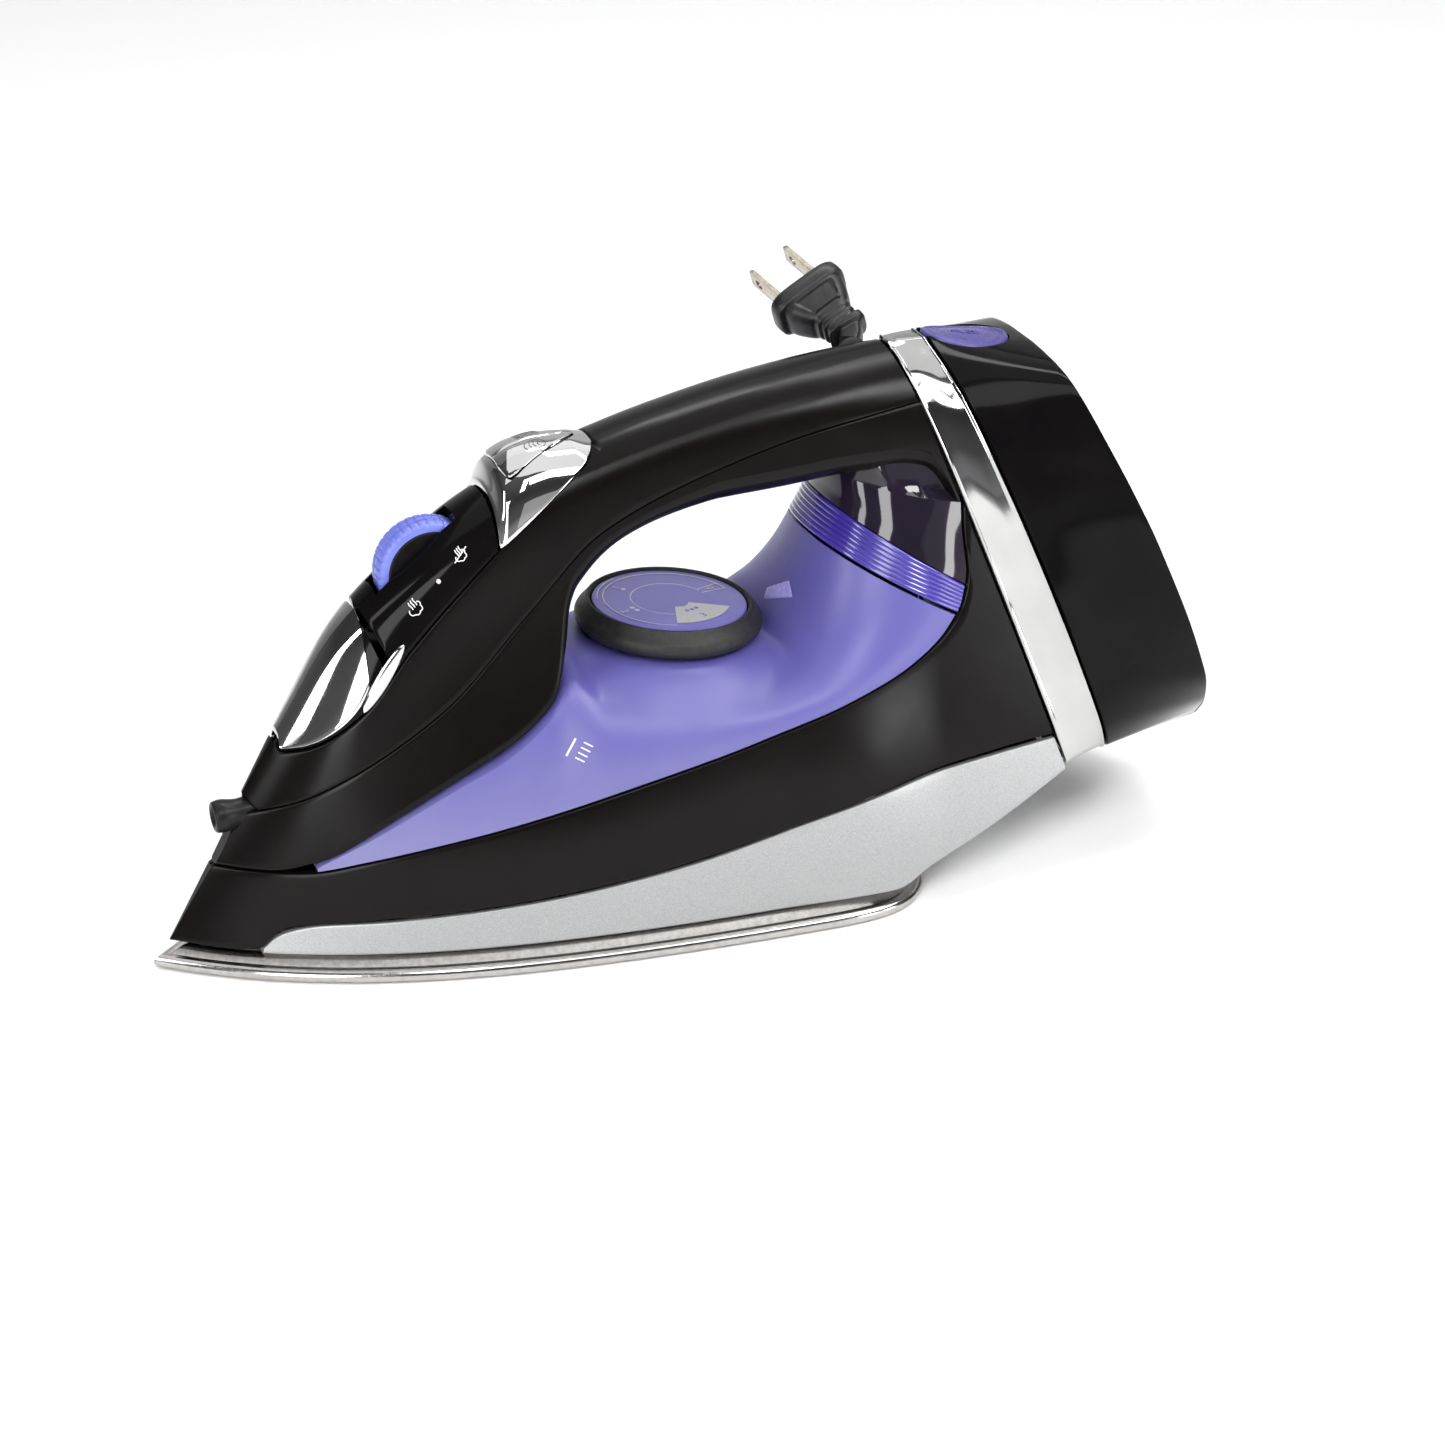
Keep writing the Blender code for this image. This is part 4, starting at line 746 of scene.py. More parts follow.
def tank_section(edge, ridge, wall, strip, power):
    """Section of the tank; strip is 1 where its side rises to a level top, and 0 where it is a dome."""
    wide = half_width(edge[0], edge[1])
    steps = 22
    high = tank_high(edge[0]) - GAP
    share = 4 / 7
    rise = max(ridge[1] - edge[1], 0.1)
    outer = []
    for i in range(steps):
        t = i / steps
        turn = math.pi / 2 * t
        across = math.cos(turn) ** (2 / power)
        up = math.sin(turn) ** (2 / power)
        x, z = edge + (ridge - edge) * up
        y = wide * across
        if strip > 0.0:
            if t <= share:
                zs = edge[1] + (high - edge[1]) * t / share
                ys = half_width(edge[0], zs)
            else:
                zs = high
                ys = half_width(edge[0], high) * (1 - t) / (1 - share)
            y += (ys - y) * strip
            z += (zs - z) * strip
        outer.append((x, y, z))
    shrink = max(rise - wall, 0.25) / rise
    along = min(abs(ridge[0] - edge[0]) / 12.0, 1.0)
    inner = []
    for k in range(0, steps, 3):
        x, y, z = outer[k]
        lean = along * min(k / 9.0, 1.0)
        inner.append((x + wall * 0.8 * lean, y * (wide - wall) / wide, edge[1] + (z - edge[1]) * shrink))
    peak = outer[-1][2] + (ridge[1] - outer[-1][2]) * (1 - strip)
    peak_in = edge[1] + (peak - edge[1]) * shrink
    crown = (ridge[0], 0.0, peak)
    roof = (ridge[0] + wall * 0.8 * along, 0.0, peak_in)
    outer = [(x, y, boss(x, y, z)) for x, y, z in outer]
    crown = (crown[0], 0.0, boss(crown[0], 0.0, crown[2]))
    loop = both_sides(outer, inner, crown, roof)
    last = 2 * len(outer)
    return soften(loop, {0, last}, 0.5)


def make_tank():
    loops = []
    for edge, ridge in dome_stations(TANK_RIDGE, 170):
        strip = 1 - ease(-46.0, -28.0, ridge[0])
        power = 2.5 - 0.4 * ease(20, 44, ridge[0])
        loops.append(tank_section(edge, ridge, 2.2, strip, power))
    build("water_tank_visual", *skin(loops), "tank_violet", "iron", "water_tank")


def bow_section(edge, ridge, wall, proud=0.0, steps=26):
    """Section of the trumpet behind the finger gap, standing proud by a little at a rib."""
    wide = half_width(edge[0], edge[1])
    outer, inner = [], []
    for i in range(steps):
        turn = math.pi / 2 * i / steps
        across = math.cos(turn) ** (2 / 2.1)
        up = math.sin(turn) ** (2 / 2.1)
        x, z = edge + (ridge - edge) * up
        outer.append((x - proud * (0.3 + 0.7 * up), (wide + proud * 0.6) * across, z + proud * 0.4 * up))
        if i % 3 == 0:
            inner.append((x + wall * up, (wide - wall) * across, z))
    crown = (ridge[0] - proud, 0.0, ridge[1] + proud * 0.4)
    return both_sides(outer, inner, crown, (ridge[0] + wall, 0.0, ridge[1]))


def make_collar():
    ribs = 7
    fine = 6
    steps = ribs * fine
    loops = []
    for i, (edge, ridge) in enumerate(dome_stations(COLLAR_RIDGE, steps)):
        phase = (i % fine) / fine
        proud = 0.42 * abs(math.sin(math.pi * phase)) ** 0.6 if 0 < i < steps else 0.0
        loops.append(bow_section(edge, ridge, 2.2, proud))
    build("tank_collar_visual", *skin(loops), "collar_violet", "iron", "tank_collar", sharp=60)


def make_column():
    loops = [bow_section(edge, ridge, 2.2) for edge, ridge in dome_stations(COLUMN_RIDGE, 60)]
    top = loops[-1]
    for rise, back in ((2.0, 0.3), (4.0, 0.8), (7.0, 2.0), (10.0, 4.0)):
        inside = []
        for x, y, z in top:
            limit = max(half_width(x + back * 0.5, z + rise) - 3.2, 1.0)
            inside.append((x + back * 0.5, math.copysign(min(abs(y), limit), y), z + rise))
        loops.append(inside)
    build("rear_column_visual", *skin(loops), "smoked", "iron", "rear_column")


# ---------------------------------------------------------------- dial and steam wheel

def dial_point(height):
    """Point on the dial's axis."""
    axis = (math.sin(DIAL_TILT), 0.0, math.cos(DIAL_TILT))
    return (DIAL_X + axis[0] * height, 0.0, DIAL_FOOT_Z + axis[2] * height)


def dial_place(radius, degrees, height):
    """Point on the dial's face by radius and angle; zero points to the heel."""
    turn = math.radians(degrees)
    u = radius * math.cos(turn)
    v = radius * math.sin(turn)
    foot = Vector(dial_point(height))
    return foot + Vector((math.cos(DIAL_TILT), 0.0, -math.sin(DIAL_TILT))) * u + Vector((0.0, v, 0.0))


def flat_patch(outline, place, thick=0.06):
    """Thin plate from an outline of (a, b) points, put in place by a function of (a, b, height)."""
    return skin([[place(a, b, 0.0) for a, b in outline], [place(a, b, thick) for a, b in outline]])


def ring_band(radius, half, start, end, steps):
    """Outline of an arc-shaped stroke, as (radius, degrees) points."""
    degrees = [start + (end - start) * i / steps for i in range(steps + 1)]
    return [(radius + half, d) for d in degrees] + [(radius - half, d) for d in reversed(degrees)]


def disc(radius, degrees, size, steps=14):
    """Outline of a dot on the dial, as (radius, degrees) points."""
    centre = radius * np.array((math.cos(math.radians(degrees)), math.sin(math.radians(degrees))))
    outline = []
    for turn in turns(steps):
        u, v = centre + size * np.array((math.cos(turn), math.sin(turn)))
        outline.append((math.hypot(u, v), math.degrees(math.atan2(v, u))))
    return outline


def make_dial():
    axis = (math.sin(DIAL_TILT), 0.0, math.cos(DIAL_TILT))
    ring = [(23.4, 0.0), (24.9, 0.15)]
    arc(ring, (24.0, 3.1), 3.0, -60, 50, 12)
    ring += [(24.9, 6.7), (24.2, 7.6)]
    arc(ring, (23.5, 7.7), 0.55, 20, 160, 5)
    ring += [(22.6, 7.4), (22.6, 4.6)]
    build("dial_ring_visual", *turned(ring, dial_point(0), axis, 110), "rubber", "dial", "dial_ring")
    face = [(22.2, 4.95), (22.2, 7.2)]
    arc(face, (21.7, 7.2), 0.5, 0, 80, 4)
    face += [(17.0, 7.92), (9.0, 8.08), (3.0, 8.14)]
    build("dial_face_visual", *turned(face, dial_point(0), axis, 110), "dial_violet", "dial", "dial_face")

    def place(radius, degrees, lift):
        dish = 0.08 * (1 - min(radius / 18.0, 1.0))
        return dial_place(radius, degrees, DIAL_FACE + dish + lift)

    strokes = [ring_band(19.0, 0.16, 12, 256, 90), ring_band(11.2, 0.14, 20, 256, 60)]
    for mark in (12, 24):
        strokes.append([(11.2, mark - 0.8), (19.0, mark - 0.5), (19.0, mark + 0.5), (11.2, mark + 0.8)])
    strokes += [disc(14.2, 137, 0.75), disc(13.2, 196, 0.75), disc(13.2, 205, 0.75)]
    strokes.append(ring_band(20.6, 0.14, 120, 165, 24))
    for i, outline in enumerate(strokes):
        build(f"dial_print_{i}", *flat_patch(outline, place), "silver_print", "dial")
    wedge = [(2.0, -68)] + [(17.4, -104 + 73 * i / 20) for i in range(21)]
    build("dial_wedge", *flat_patch(wedge, place), "silver_print", "dial")

    def over(radius, degrees, lift):
        return place(radius, degrees, lift + 0.05)

    for i, degrees in enumerate((-79, -68, -57)):
        build(f"dial_wedge_dot_{i}", *flat_patch(disc(9.4, degrees, 0.7), over), "dial_violet", "dial")
    numbers = (("1", 16.6, 137, "silver_print"), ("2", 16.8, 200, "silver_print"),
               ("3", 14.2, -68, "dial_violet"), ("0", 15.2, 18, "silver_print"))
    for i, (word, radius, degrees, look) in enumerate(numbers):
        label(f"dial_number_{i}", word, radius, degrees, DIAL_FACE + 0.1, look)


def label(name, word, radius, degrees, height, look):
    """A number on the dial, read from outside."""
    text = bpy.data.curves.new(name, "FONT")
    text.body = word
    text.size = 3.4 * MM
    text.extrude = 0.03 * MM
    text.align_x = "CENTER"
    text.align_y = "CENTER"
    holder = add_object(name + "_text", text)
    bpy.context.view_layer.update()
    mesh = bpy.data.meshes.new_from_object(holder.evaluated_get(bpy.context.evaluated_depsgraph_get()))
    bpy.data.objects.remove(holder)
    spot = (dial_place(radius, degrees, height) - Vector((CENTRE_X, 0, 0))) * MM
    turn = Matrix.Rotation(DIAL_TILT, 4, "Y") @ Matrix.Rotation(math.radians(degrees + 90), 4, "Z")
    mesh.transform(Matrix.Translation(spot) @ turn)
    mesh.materials.clear()
    mesh.materials.append(LOOKS[look][0])
    made = add_object(name, mesh)
    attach(made, "dial")


def make_wheel():
    """Thumb wheel: a belt of small pads between two black cheeks."""
    around = 216
    pads = 36
    shoulder = WHEEL_HALF - 0.1
    across = [(-shoulder, 2.6), (-shoulder, 1.7), (-4.0, 0.8), (-3.4, 0.25), (-2.7, 0.0), (-1.5, 0.0),
              (-1.35, 0.5), (-1.05, 0.5), (-0.9, 0.0), (0.9, 0.0), (1.05, 0.5), (1.35, 0.5), (1.5, 0.0),
              (2.7, 0.0), (3.4, 0.25), (4.0, 0.8), (shoulder, 1.7), (shoulder, 2.6)]
    loops = []
    for y, sink in [(-2.6, WHEEL_R - 4.0)] + across + [(2.6, WHEEL_R - 4.0)]:
        loop = []
        for j, turn in enumerate(turns(around)):
            groove = 0.28 if j % (around // pads) == 0 and sink < 3.0 else 0.0
            r = WHEEL_R - max(sink, min(sink + groove, WHEEL_R))
            loop.append((WHEEL_X + r * math.cos(turn), y, WHEEL_Z + r * math.sin(turn)))
        loops.append(loop)
    build("steam_wheel_belt", *skin(loops, round_trip=True), "wheel_violet", "steam_wheel", "steam_wheel")
    rim = WHEEL_R - 2.6
    for side in (-1, 1):
        cheek = [(2.0, 3.2), (rim - 0.1, 3.2), (rim - 0.1, 4.3), (rim - 0.5, WHEEL_HALF),
                 (rim - 0.9, WHEEL_HALF), (rim - 1.3, 4.1), (2.0, 4.0)]
        points, faces = turned([(r, side * h) for r, h in cheek], (WHEEL_X, 0, WHEEL_Z), (0, 1, 0), 96,
                               hollow=True)
        name = "near" if side < 0 else "far"
        build(f"steam_wheel_cheek_{name}", points, faces, "satin_black", "steam_wheel")
        notch = []
        for y in (side * 4.0, side * 4.42):
            loop = []
            for a, b in ((-2.6, 1.0), (-2.0, -1.4), (2.0, -1.4), (2.6, 1.0)):
                turn = math.radians(62) + a / rim
                loop.append((WHEEL_X + (rim + b) * math.cos(turn), y, WHEEL_Z + (rim + b) * math.sin(turn)))
            notch.append(loop)
        build(f"steam_wheel_notch_{name}", *skin(notch), "wheel_violet", "steam_wheel")


# ---------------------------------------------------------------- caps on the crown

def brink(x):
    """Height of the strip's edge, with the seam above it."""
    return strip_edge(x) + GAP * 1.6


def cap(x_from, x_to, steps, ridge=top_line, thick=WALL, lift=0.0, edge_line=brink, edge=0.4, lean=(0, 0)):
    """Fine saddle-shaped cap between an edge line and its ridge line.

    Its sections lean back towards their feet by a share of their height, which runs from end to end.
    """
    side_points = 18
    loops = []
    for i in range(steps + 1):
        part = i / steps
        x = x_from + (x_to - x_from) * part
        back = lean[0] + (lean[1] - lean[0]) * part
        peak = ridge(x)
        foot = x
        for _ in range(12):
            foot = x + back * max(peak - edge_line(foot), 0.0)
        low = edge_line(foot)
        peak = max(peak, low + 0.6)

        def across(t, x=x, foot=foot, low=low, peak=peak):
            here = foot + (x - foot) * t
            z = low + (peak - low) * t
            return here, z, max(ridge(here), z + 0.02)

        outer = []
        for k in range(side_points):
            t = 0.985 * (k / (side_points - 1)) ** 0.8
            here, z, crown = across(t)
            outer.append((here, half_width(here, z, crown) + lift, z + lift * t))
        roof = max(peak - thick, low + 0.3)
        inner = []
        for share in (0.0, 0.2, 0.4, 0.6, 0.75, 0.87):
            t = share * (roof - low) / (peak - low)
            here, z, crown = across(t)
            wide = half_width(here, z, crown)
            inner.append((here, max(wide - thick, min(0.3, wide * 0.5)), z))
        loop = both_sides(outer, inner, (x, 0.0, peak + lift), (x, 0.0, roof))
        last = 2 * len(outer)
        loops.append(soften(loop, {0, last}, edge))
    return loops


def closed_ends(loops, inset=0.35):
    """Draws the two end sections in a little, so that the ends of a cap have softened corners."""
    def drawn(loop, shift):
        centre = sum((Vector(p) for p in loop), Vector()) / len(loop)
        result = []
        for p in loop:
            point = Vector(p)
            step = centre - point
            point += step.normalized() * min(inset, step.length * 0.3)
            point.x = p[0] + shift
            result.append(tuple(point))
        return result

    return [drawn(loops[0], -inset * 0.7)] + loops + [drawn(loops[-1], inset * 0.7)]


def make_door():
    """Fill door: a black cap with a leaf of chrome over it, and a chrome thumb tab."""
    shell = cap(-114.2, -91.6, 44, lift=-0.35, lean=(0.0, DOOR_LEAN))
    build("fill_door_visual", *skin(closed_ends(shell)), "rear_black", "fill_door", "fill_door")
    leaf = smooth_line([(-116, 63.6), (-112, 64.9), (-108, 66.4), (-100, 71.6), (-94.5, 77.4),
                        (-91.6, 82.6), (-89, 88.2), (-86, 94.6), (-84, 98)])
    plate = cap(-114.6, -91.4, 60, thick=0.9, lift=0.25, edge_line=leaf, edge=0.25, lean=(0.0, DOOR_LEAN))
    build("fill_door_leaf", *skin(closed_ends(plate)), "chrome", "fill_door")
    loops = []
    low, high = -93.6, -81.2
    for i in range(25):
        t = i / 24
        x = low + (high - low) * t
        swell = math.sin(math.pi * t) ** 0.6
        z = strip_edge(low) + 1.2 + (strip_edge(high) + 3.2 - strip_edge(low)) * t
        y = half_width(x, z)
        half = 0.3 + 2.1 * swell
        loop = []
        for turn in turns(20):
            out = 0.9 * math.cos(turn) * (0.35 + 0.65 * swell)
            rise = half * math.sin(turn)
            loop.append((x - rise * 0.62, -(y + 0.1 + out), z + rise * 0.78))
        loops.append(loop)
    build("fill_door_tab", *skin(loops), "chrome", "fill_door", sharp=70)


def stroke_on_side(name, points, radius):
    """A thin line of print laid on the near side of the body, from (x, z) points."""
    path = [(x, -half_width(x, z) - 0.02, z) for x, z in points]
    build(name, *swept(path, radius, 6), "white_print", "iron", sharp=80)


def icon_frame(x, z, size):
    """Function that puts icon units on the panel, along the strip's slope."""
    slope = math.atan2(strip_edge(x + 4) - strip_edge(x - 4), 8.0)
    c, s = math.cos(slope), math.sin(slope)
    return lambda a, b: (x + (a * c - b * s) * size, z + (a * s + b * c) * size)


def cloud(place):
    """Outline of a small puff of steam with three plumes above it."""
    puff = []
    for centre, radius, start, end in (((-1.3, 0.0), 0.8, 100, 260), ((-0.4, -0.7), 0.75, 210, 320),
                                       ((0.7, -0.5), 0.8, 230, 380), ((1.35, 0.35), 0.6, 280, 430)):
        for i in range(7):
            turn = math.radians(start + (end - start) * i / 6)
            puff.append(place(centre[0] + radius * math.cos(turn), centre[1] + radius * math.sin(turn)))
    plumes = []
    for a in (-0.6, 0.2, 1.0):
        plumes.append([place(a - 0.1, 0.3), place(a + 0.15, 0.9), place(a + 0.1, 1.5),
                       place(a + 0.45, 2.1)])
    return [puff] + plumes


def make_panel():
    shell = cap(-90.2, -53.5, 80, edge=0.6, lean=(DOOR_LEAN, 0.0))
    panel = build("control_panel_visual", *skin(closed_ends(shell)), "rear_black", "iron", "control_panel")
    slot = []
    for y in (-WHEEL_HALF - 0.7, WHEEL_HALF + 0.7):
        slot.append([(-85.6, y, 96), (-62.0, y, 106), (-62.0, y, 150), (-85.6, y, 150)])
    carve(panel, *skin(slot))
    marks = cloud(icon_frame(-77.0, 103.9, 1.05)) + cloud(icon_frame(-63.4, 117.2, 0.85))
    cross = icon_frame(-63.4, 117.2, 1.0)
    marks.append([cross(-2.7 + 5.4 * i / 8, 0.15 + 0.5 * i / 8 - 0.2) for i in range(9)])
    for i, points in enumerate(marks):
        stroke_on_side(f"panel_icon_{i}", points, 0.17)
    dot = icon_frame(-70.2, 110.8, 1.0)
    ring = [dot(0.32 * math.cos(t), 0.32 * math.sin(t)) for t in turns(12)]
    stroke_on_side("panel_dot", ring + ring[:1], 0.34)


def button_reach(x):
    """Half width of the pair of buttons: round in front, drawn to a point behind."""
    front = min(max(x + 49.6, 0.0) / 2.2, 1.0)
    tail = min(max(-25.6 - x, 0.0) / 20.0, 1.0)
    return 0.4 + 10.0 * math.sqrt(1 - (1 - front) ** 2) * tail ** 0.72


def crown_drop(x, y):
    """How far the crown lies below its ridge, at a distance from the middle."""
    part = min(abs(y) / crown_width(x), 0.985)
    return -crown_round(x) * math.log(1 - part ** (1 / 0.56))


def make_bezel():
    shell = cap(-52.6, -22.2, 80, ridge=bezel_line)
    bezel = build("button_bezel_visual", *skin(closed_ends(shell)), "chrome", "iron", "button_bezel")
    xs = [-49.5 + 23.7 * i / 40 for i in range(41)]
    outline = [(x, -button_reach(x) - 0.35) for x in xs]
    outline += [(x, -y) for x, y in reversed(outline)]
    carve(bezel, *skin([[(x, y, z) for x, y in outline] for z in (126.0, 160.0)]))
    for side, name in ((-1, "spray"), (1, "burst")):
        loops = []
        for i in range(41):
            x = -49.3 + 23.2 * i / 40
            reach = button_reach(x)
            loop = []
            for k in range(15):
                t = k / 14
                y = 0.14 + (reach - 0.14) * t
                edge = 0.45 * (max(t - 0.86, 0.0) / 0.14) ** 2 + 0.35 * (max(0.1 - t, 0.0) / 0.1) ** 2
                loop.append((x, side * y, bezel_line(x) + 0.55 - crown_drop(x, y) * 0.9 - edge))
            foot = bezel_line(x) - 2.4
            loop += [(x, side * reach, foot), (x, side * 0.14, foot)]
            loops.append(loop)
        build(f"{name}_button_visual", *skin(loops), "chrome", f"{name}_button", f"{name}_button")

        def place(a, b):
            x = -38.2 + b
            y = 4.0 + a
            return (x, side * y, bezel_line(x) + 0.56 - crown_drop(x, y) * 0.9)

        if side < 0:
            ring = [place(2.3 * math.cos(t), 3.0 * math.sin(t)) for t in turns(28)]
            rows = ((1.4, -1.2, -1.6), (1.2, 0.0, -0.5), (0.9, 1.2, 0.7))
            lines = [ring + ring[:1]]
            lines += [[place(-a, ends), place(0.0, tip), place(a, ends)] for a, ends, tip in rows]
        else:
            lines = [[place(a, -3.4 + 6.8 * i / 10) for i in range(11)] for a in (-1.8, -0.6, 0.6, 1.8)]
            lines.append([place(-2.6, -1.6), place(-1.0, -2.6), place(1.0, -2.6), place(2.6, -1.6)])
        for i, points in enumerate(lines):
            build(f"{name}_mark_{i}", *swept(points, 0.13, 6), "engraving", f"{name}_button", sharp=80)


def make_nozzle():
    profile = [(1.15, 9.0), (1.15, 2.4), (1.7, 1.5), (3.0, 0.7)]
    arc(profile, (3.6, 1.7), 0.9, 240, 350, 6)
    profile += [(4.72, 3.0), (4.6, 4.4), (4.15, 6.2), (3.9, 8.0), (4.05, 10.0), (4.3, 12.5)]
    build("spray_nozzle_visual", *turned(profile, NOZZLE_FOOT, NOZZLE_AIM, 64), "satin_black", "iron",
          "spray_nozzle")


# ---------------------------------------------------------------- rear

def rear_loop(plane, widths, drop_to, shrink=0.0, points=72):
    """Closed section on a sloping plane: half widths given against depth below the top."""
    wide = smooth_line(widths)
    slope = 1 / math.sqrt(1 + plane[2] ** 2)
    side = []
    for i in range(points):
        t = (1 - math.cos(math.pi * i / (points - 1))) / 2
        s = shrink + (drop_to - 2 * shrink) * t
        y = max(float(wide(s)) - shrink, 1.0)
        side.append((plane[0] + s * slope * plane[2], y, plane[1] - s * slope))
    return side + mirrored(side[::-1])


BAND_FRONT_WIDTHS = [
    (0, 3), (1.5, 4), (2.5, 5.5), (6.5, 10.5), (19.5, 19.5), (36.5, 26.5), (55.5, 32), (74.5, 37.5),
    (93.5, 42.5), (114.5, 47.5), (124.5, 49), (127.5, 45)]
BAND_REAR_WIDTHS = [
    (0, 4), (1.5, 6), (6, 13), (18, 24), (36, 32), (55, 38.5), (74, 43.5), (92, 46.5), (114, 48.5),
    (124, 46), (127.5, 40)]
REAR_RIM_WIDTHS = [
    (0, 7), (0.6, 12), (2.5, 21), (5.5, 27), (9, 30.3), (14.1, 33.4), (25.1, 38.4), (38.1, 43.5),
    (55.1, 47.5), (76.1, 48.5), (103.1, 44.5), (118.1, 35.5), (132.1, 20.5)]


def between(loop_a, loop_b, t):
    """Section at a share of the way from one to another."""
    return [tuple(a + (b - a) * t for a, b in zip(p, q)) for p, q in zip(loop_a, loop_b)]


def drawn_in(loop, amount):
    """Section drawn towards its middle by a distance."""
    centre = sum((Vector(p) for p in loop), Vector()) / len(loop)
    result = []
    for p in loop:
        step = centre - Vector(p)
        result.append(tuple(Vector(p) + step.normalized() * amount))
    return result


def oval_plan(grow, z):
    """Plan of the retract button, blunt at the rear and drawn out towards the band."""
    loop = []
    for turn in turns(72):
        c = math.cos(turn)
        taper = 1.0 - 0.12 * (1 - c)
        loop.append((BUTTON_X + (BUTTON_LONG + grow) * c, (BUTTON_WIDE + grow) * math.sin(turn) * taper, z))
    return loop


def button_top(x, y, lift):
    """Point on the retract button's bowed and sloping top."""
    return (x, y, BUTTON_Z + lift - BUTTON_FALL * (x - BUTTON_X) - BUTTON_BOW * y * y)


def make_rear():
    """The chrome band, and the rear cover behind it."""
    front = rear_loop(BAND_FRONT, BAND_FRONT_WIDTHS, BAND_FRONT_DROP)
    rear = rear_loop(BAND_REAR, BAND_REAR_WIDTHS, BAND_REAR_DROP)
    front_in = rear_loop(BAND_FRONT, BAND_FRONT_WIDTHS, BAND_FRONT_DROP, shrink=WALL)
    rear_in = rear_loop(BAND_REAR, BAND_REAR_WIDTHS, BAND_REAR_DROP, shrink=WALL)
    profile = [(0.02, 0.9), (0.03, 0.3), (0.055, 0.0), (0.085, 0.0), (0.11, 0.4), (0.14, 0.42)]
    profile += [(0.3, 0.3), (0.5, 0.25), (0.7, 0.3), (0.86, 0.42), (0.89, 0.4), (0.915, 0.0), (0.945, 0.0),
                (0.965, 0.3), (0.975, 0.9)]
    loops = [drawn_in(between(front, rear, t), d) for t, d in profile]
    loops += [between(front_in, rear_in, 0.95), between(front_in, rear_in, 0.03)]
    build("chrome_band_visual", *skin(loops, round_trip=True), "band_chrome", "iron", "chrome_band",
          sharp=50)

    top_x, top_z, slope = REAR_RIM
    rim = rear_loop(REAR_RIM, REAR_RIM_WIDTHS, REAR_RIM_DROP)
    rim_small = rear_loop((top_x + 1.2, top_z - 2.0, slope), REAR_RIM_WIDTHS, REAR_RIM_DROP, shrink=2.5)
    rim_in = rear_loop((top_x - 3.4, top_z + 0.2, slope), REAR_RIM_WIDTHS, REAR_RIM_DROP, shrink=3.0)
    start = between(rear, rim, 0.012)
    start_in = between(rear_in, rim_in, 0.01)
    loops = [rim_in, between(start_in, rim_in, 0.5), start_in, drawn_in(start, 0.5)]
    for i in range(25):
        t = i / 24
        loops.append(between(start, rim, 0.01 + 0.97 * t))
    loops += [drawn_in(rim, 0.12), between(drawn_in(rim, 0.3), rim_small, 0.35),
              between(rim, rim_small, 0.7), between(rim, rim_small, 0.95), rim_small,
              drawn_in(rim_small, 0.8)]
    cover = build("rear_cover_visual", *skin(loops), "rear_black", "iron", "rear_cover")
    carve(cover, *skin([oval_plan(0.45, 140.0), oval_plan(0.45, 170.0)]))


def make_retract_button():
    def crown(grow, lift):
        return [button_top(x, y, lift) for x, y, _ in oval_plan(grow, 0)]

    heights = [(0.0, 0.2), (-0.25, 0.55), (-0.6, 0.8), (-1.1, 0.85), (-1.5, 0.6), (-1.8, 0.3), (-2.3, 0.3),
               (-2.7, 0.5), (-3.0, 0.55), (-3.3, 0.5), (-3.6, 0.3), (-5.5, 0.32), (-7.5, 0.36)]
    loops = [oval_plan(0.0, BUTTON_Z - 6.4), crown(0.0, -0.4)]
    loops += [crown(grow, lift) for grow, lift in heights]
    build("retract_button_visual", *skin(loops), "button_violet", "retract_button", "retract_button")
    glyph = [[(-3.6, 0.6), (-2.4, 1.2), (-1.2, 0.2), (0.0, -0.8), (1.2, -0.2)],
             [(1.2, -1.4), (1.2, 1.0)],
             [(1.2, -1.4), (2.6, -1.4), (3.1, -0.8), (3.1, 0.4), (2.6, 1.0), (1.2, 1.0)],
             [(3.1, -0.9), (4.5, -0.9)],
             [(3.1, 0.5), (4.5, 0.5)]]
    for i, points in enumerate(glyph):
        path = [button_top(BUTTON_X + a, b, 0.38) for a, b in points]
        build(f"retract_mark_{i}", *swept(path, 0.28, 8), "button_violet", "retract_button", sharp=80)


# ---------------------------------------------------------------- cord and plug

def reel_axis():
    """Direction of the reel's axle, square to the rear face."""
    slope = 1 / math.sqrt(1 + REAR_RIM[2] ** 2)
    return Vector((slope, 0.0, slope * REAR_RIM[2]))


def reel_centre():
    axis = reel_axis()
    x = REAR_RIM[0] + REEL_DROP * axis.z
    z = REAR_RIM[1] - REEL_DROP * axis.x
    return Vector((x, 0.0, z)) - axis * REEL_DEPTH


def plug_point(along):
    """Point on the plug's axis."""
    return Vector(PLUG_ROOT) + Vector(PLUG_AIM).normalized() * along


# Cord from beside the reel up to its outlet
TAIL = [(103.0, -31.5, 115.0), (94.0, -22.0, 129.0), (86.0, -12.5, 138.0), (78.0, -5.0, 143.2),
        (70.8, 1.6, 146.2), (66.2, 7.2, 147.2), (65.7, 13.0, 147.4), (65.7, 18.9, 147.4)]


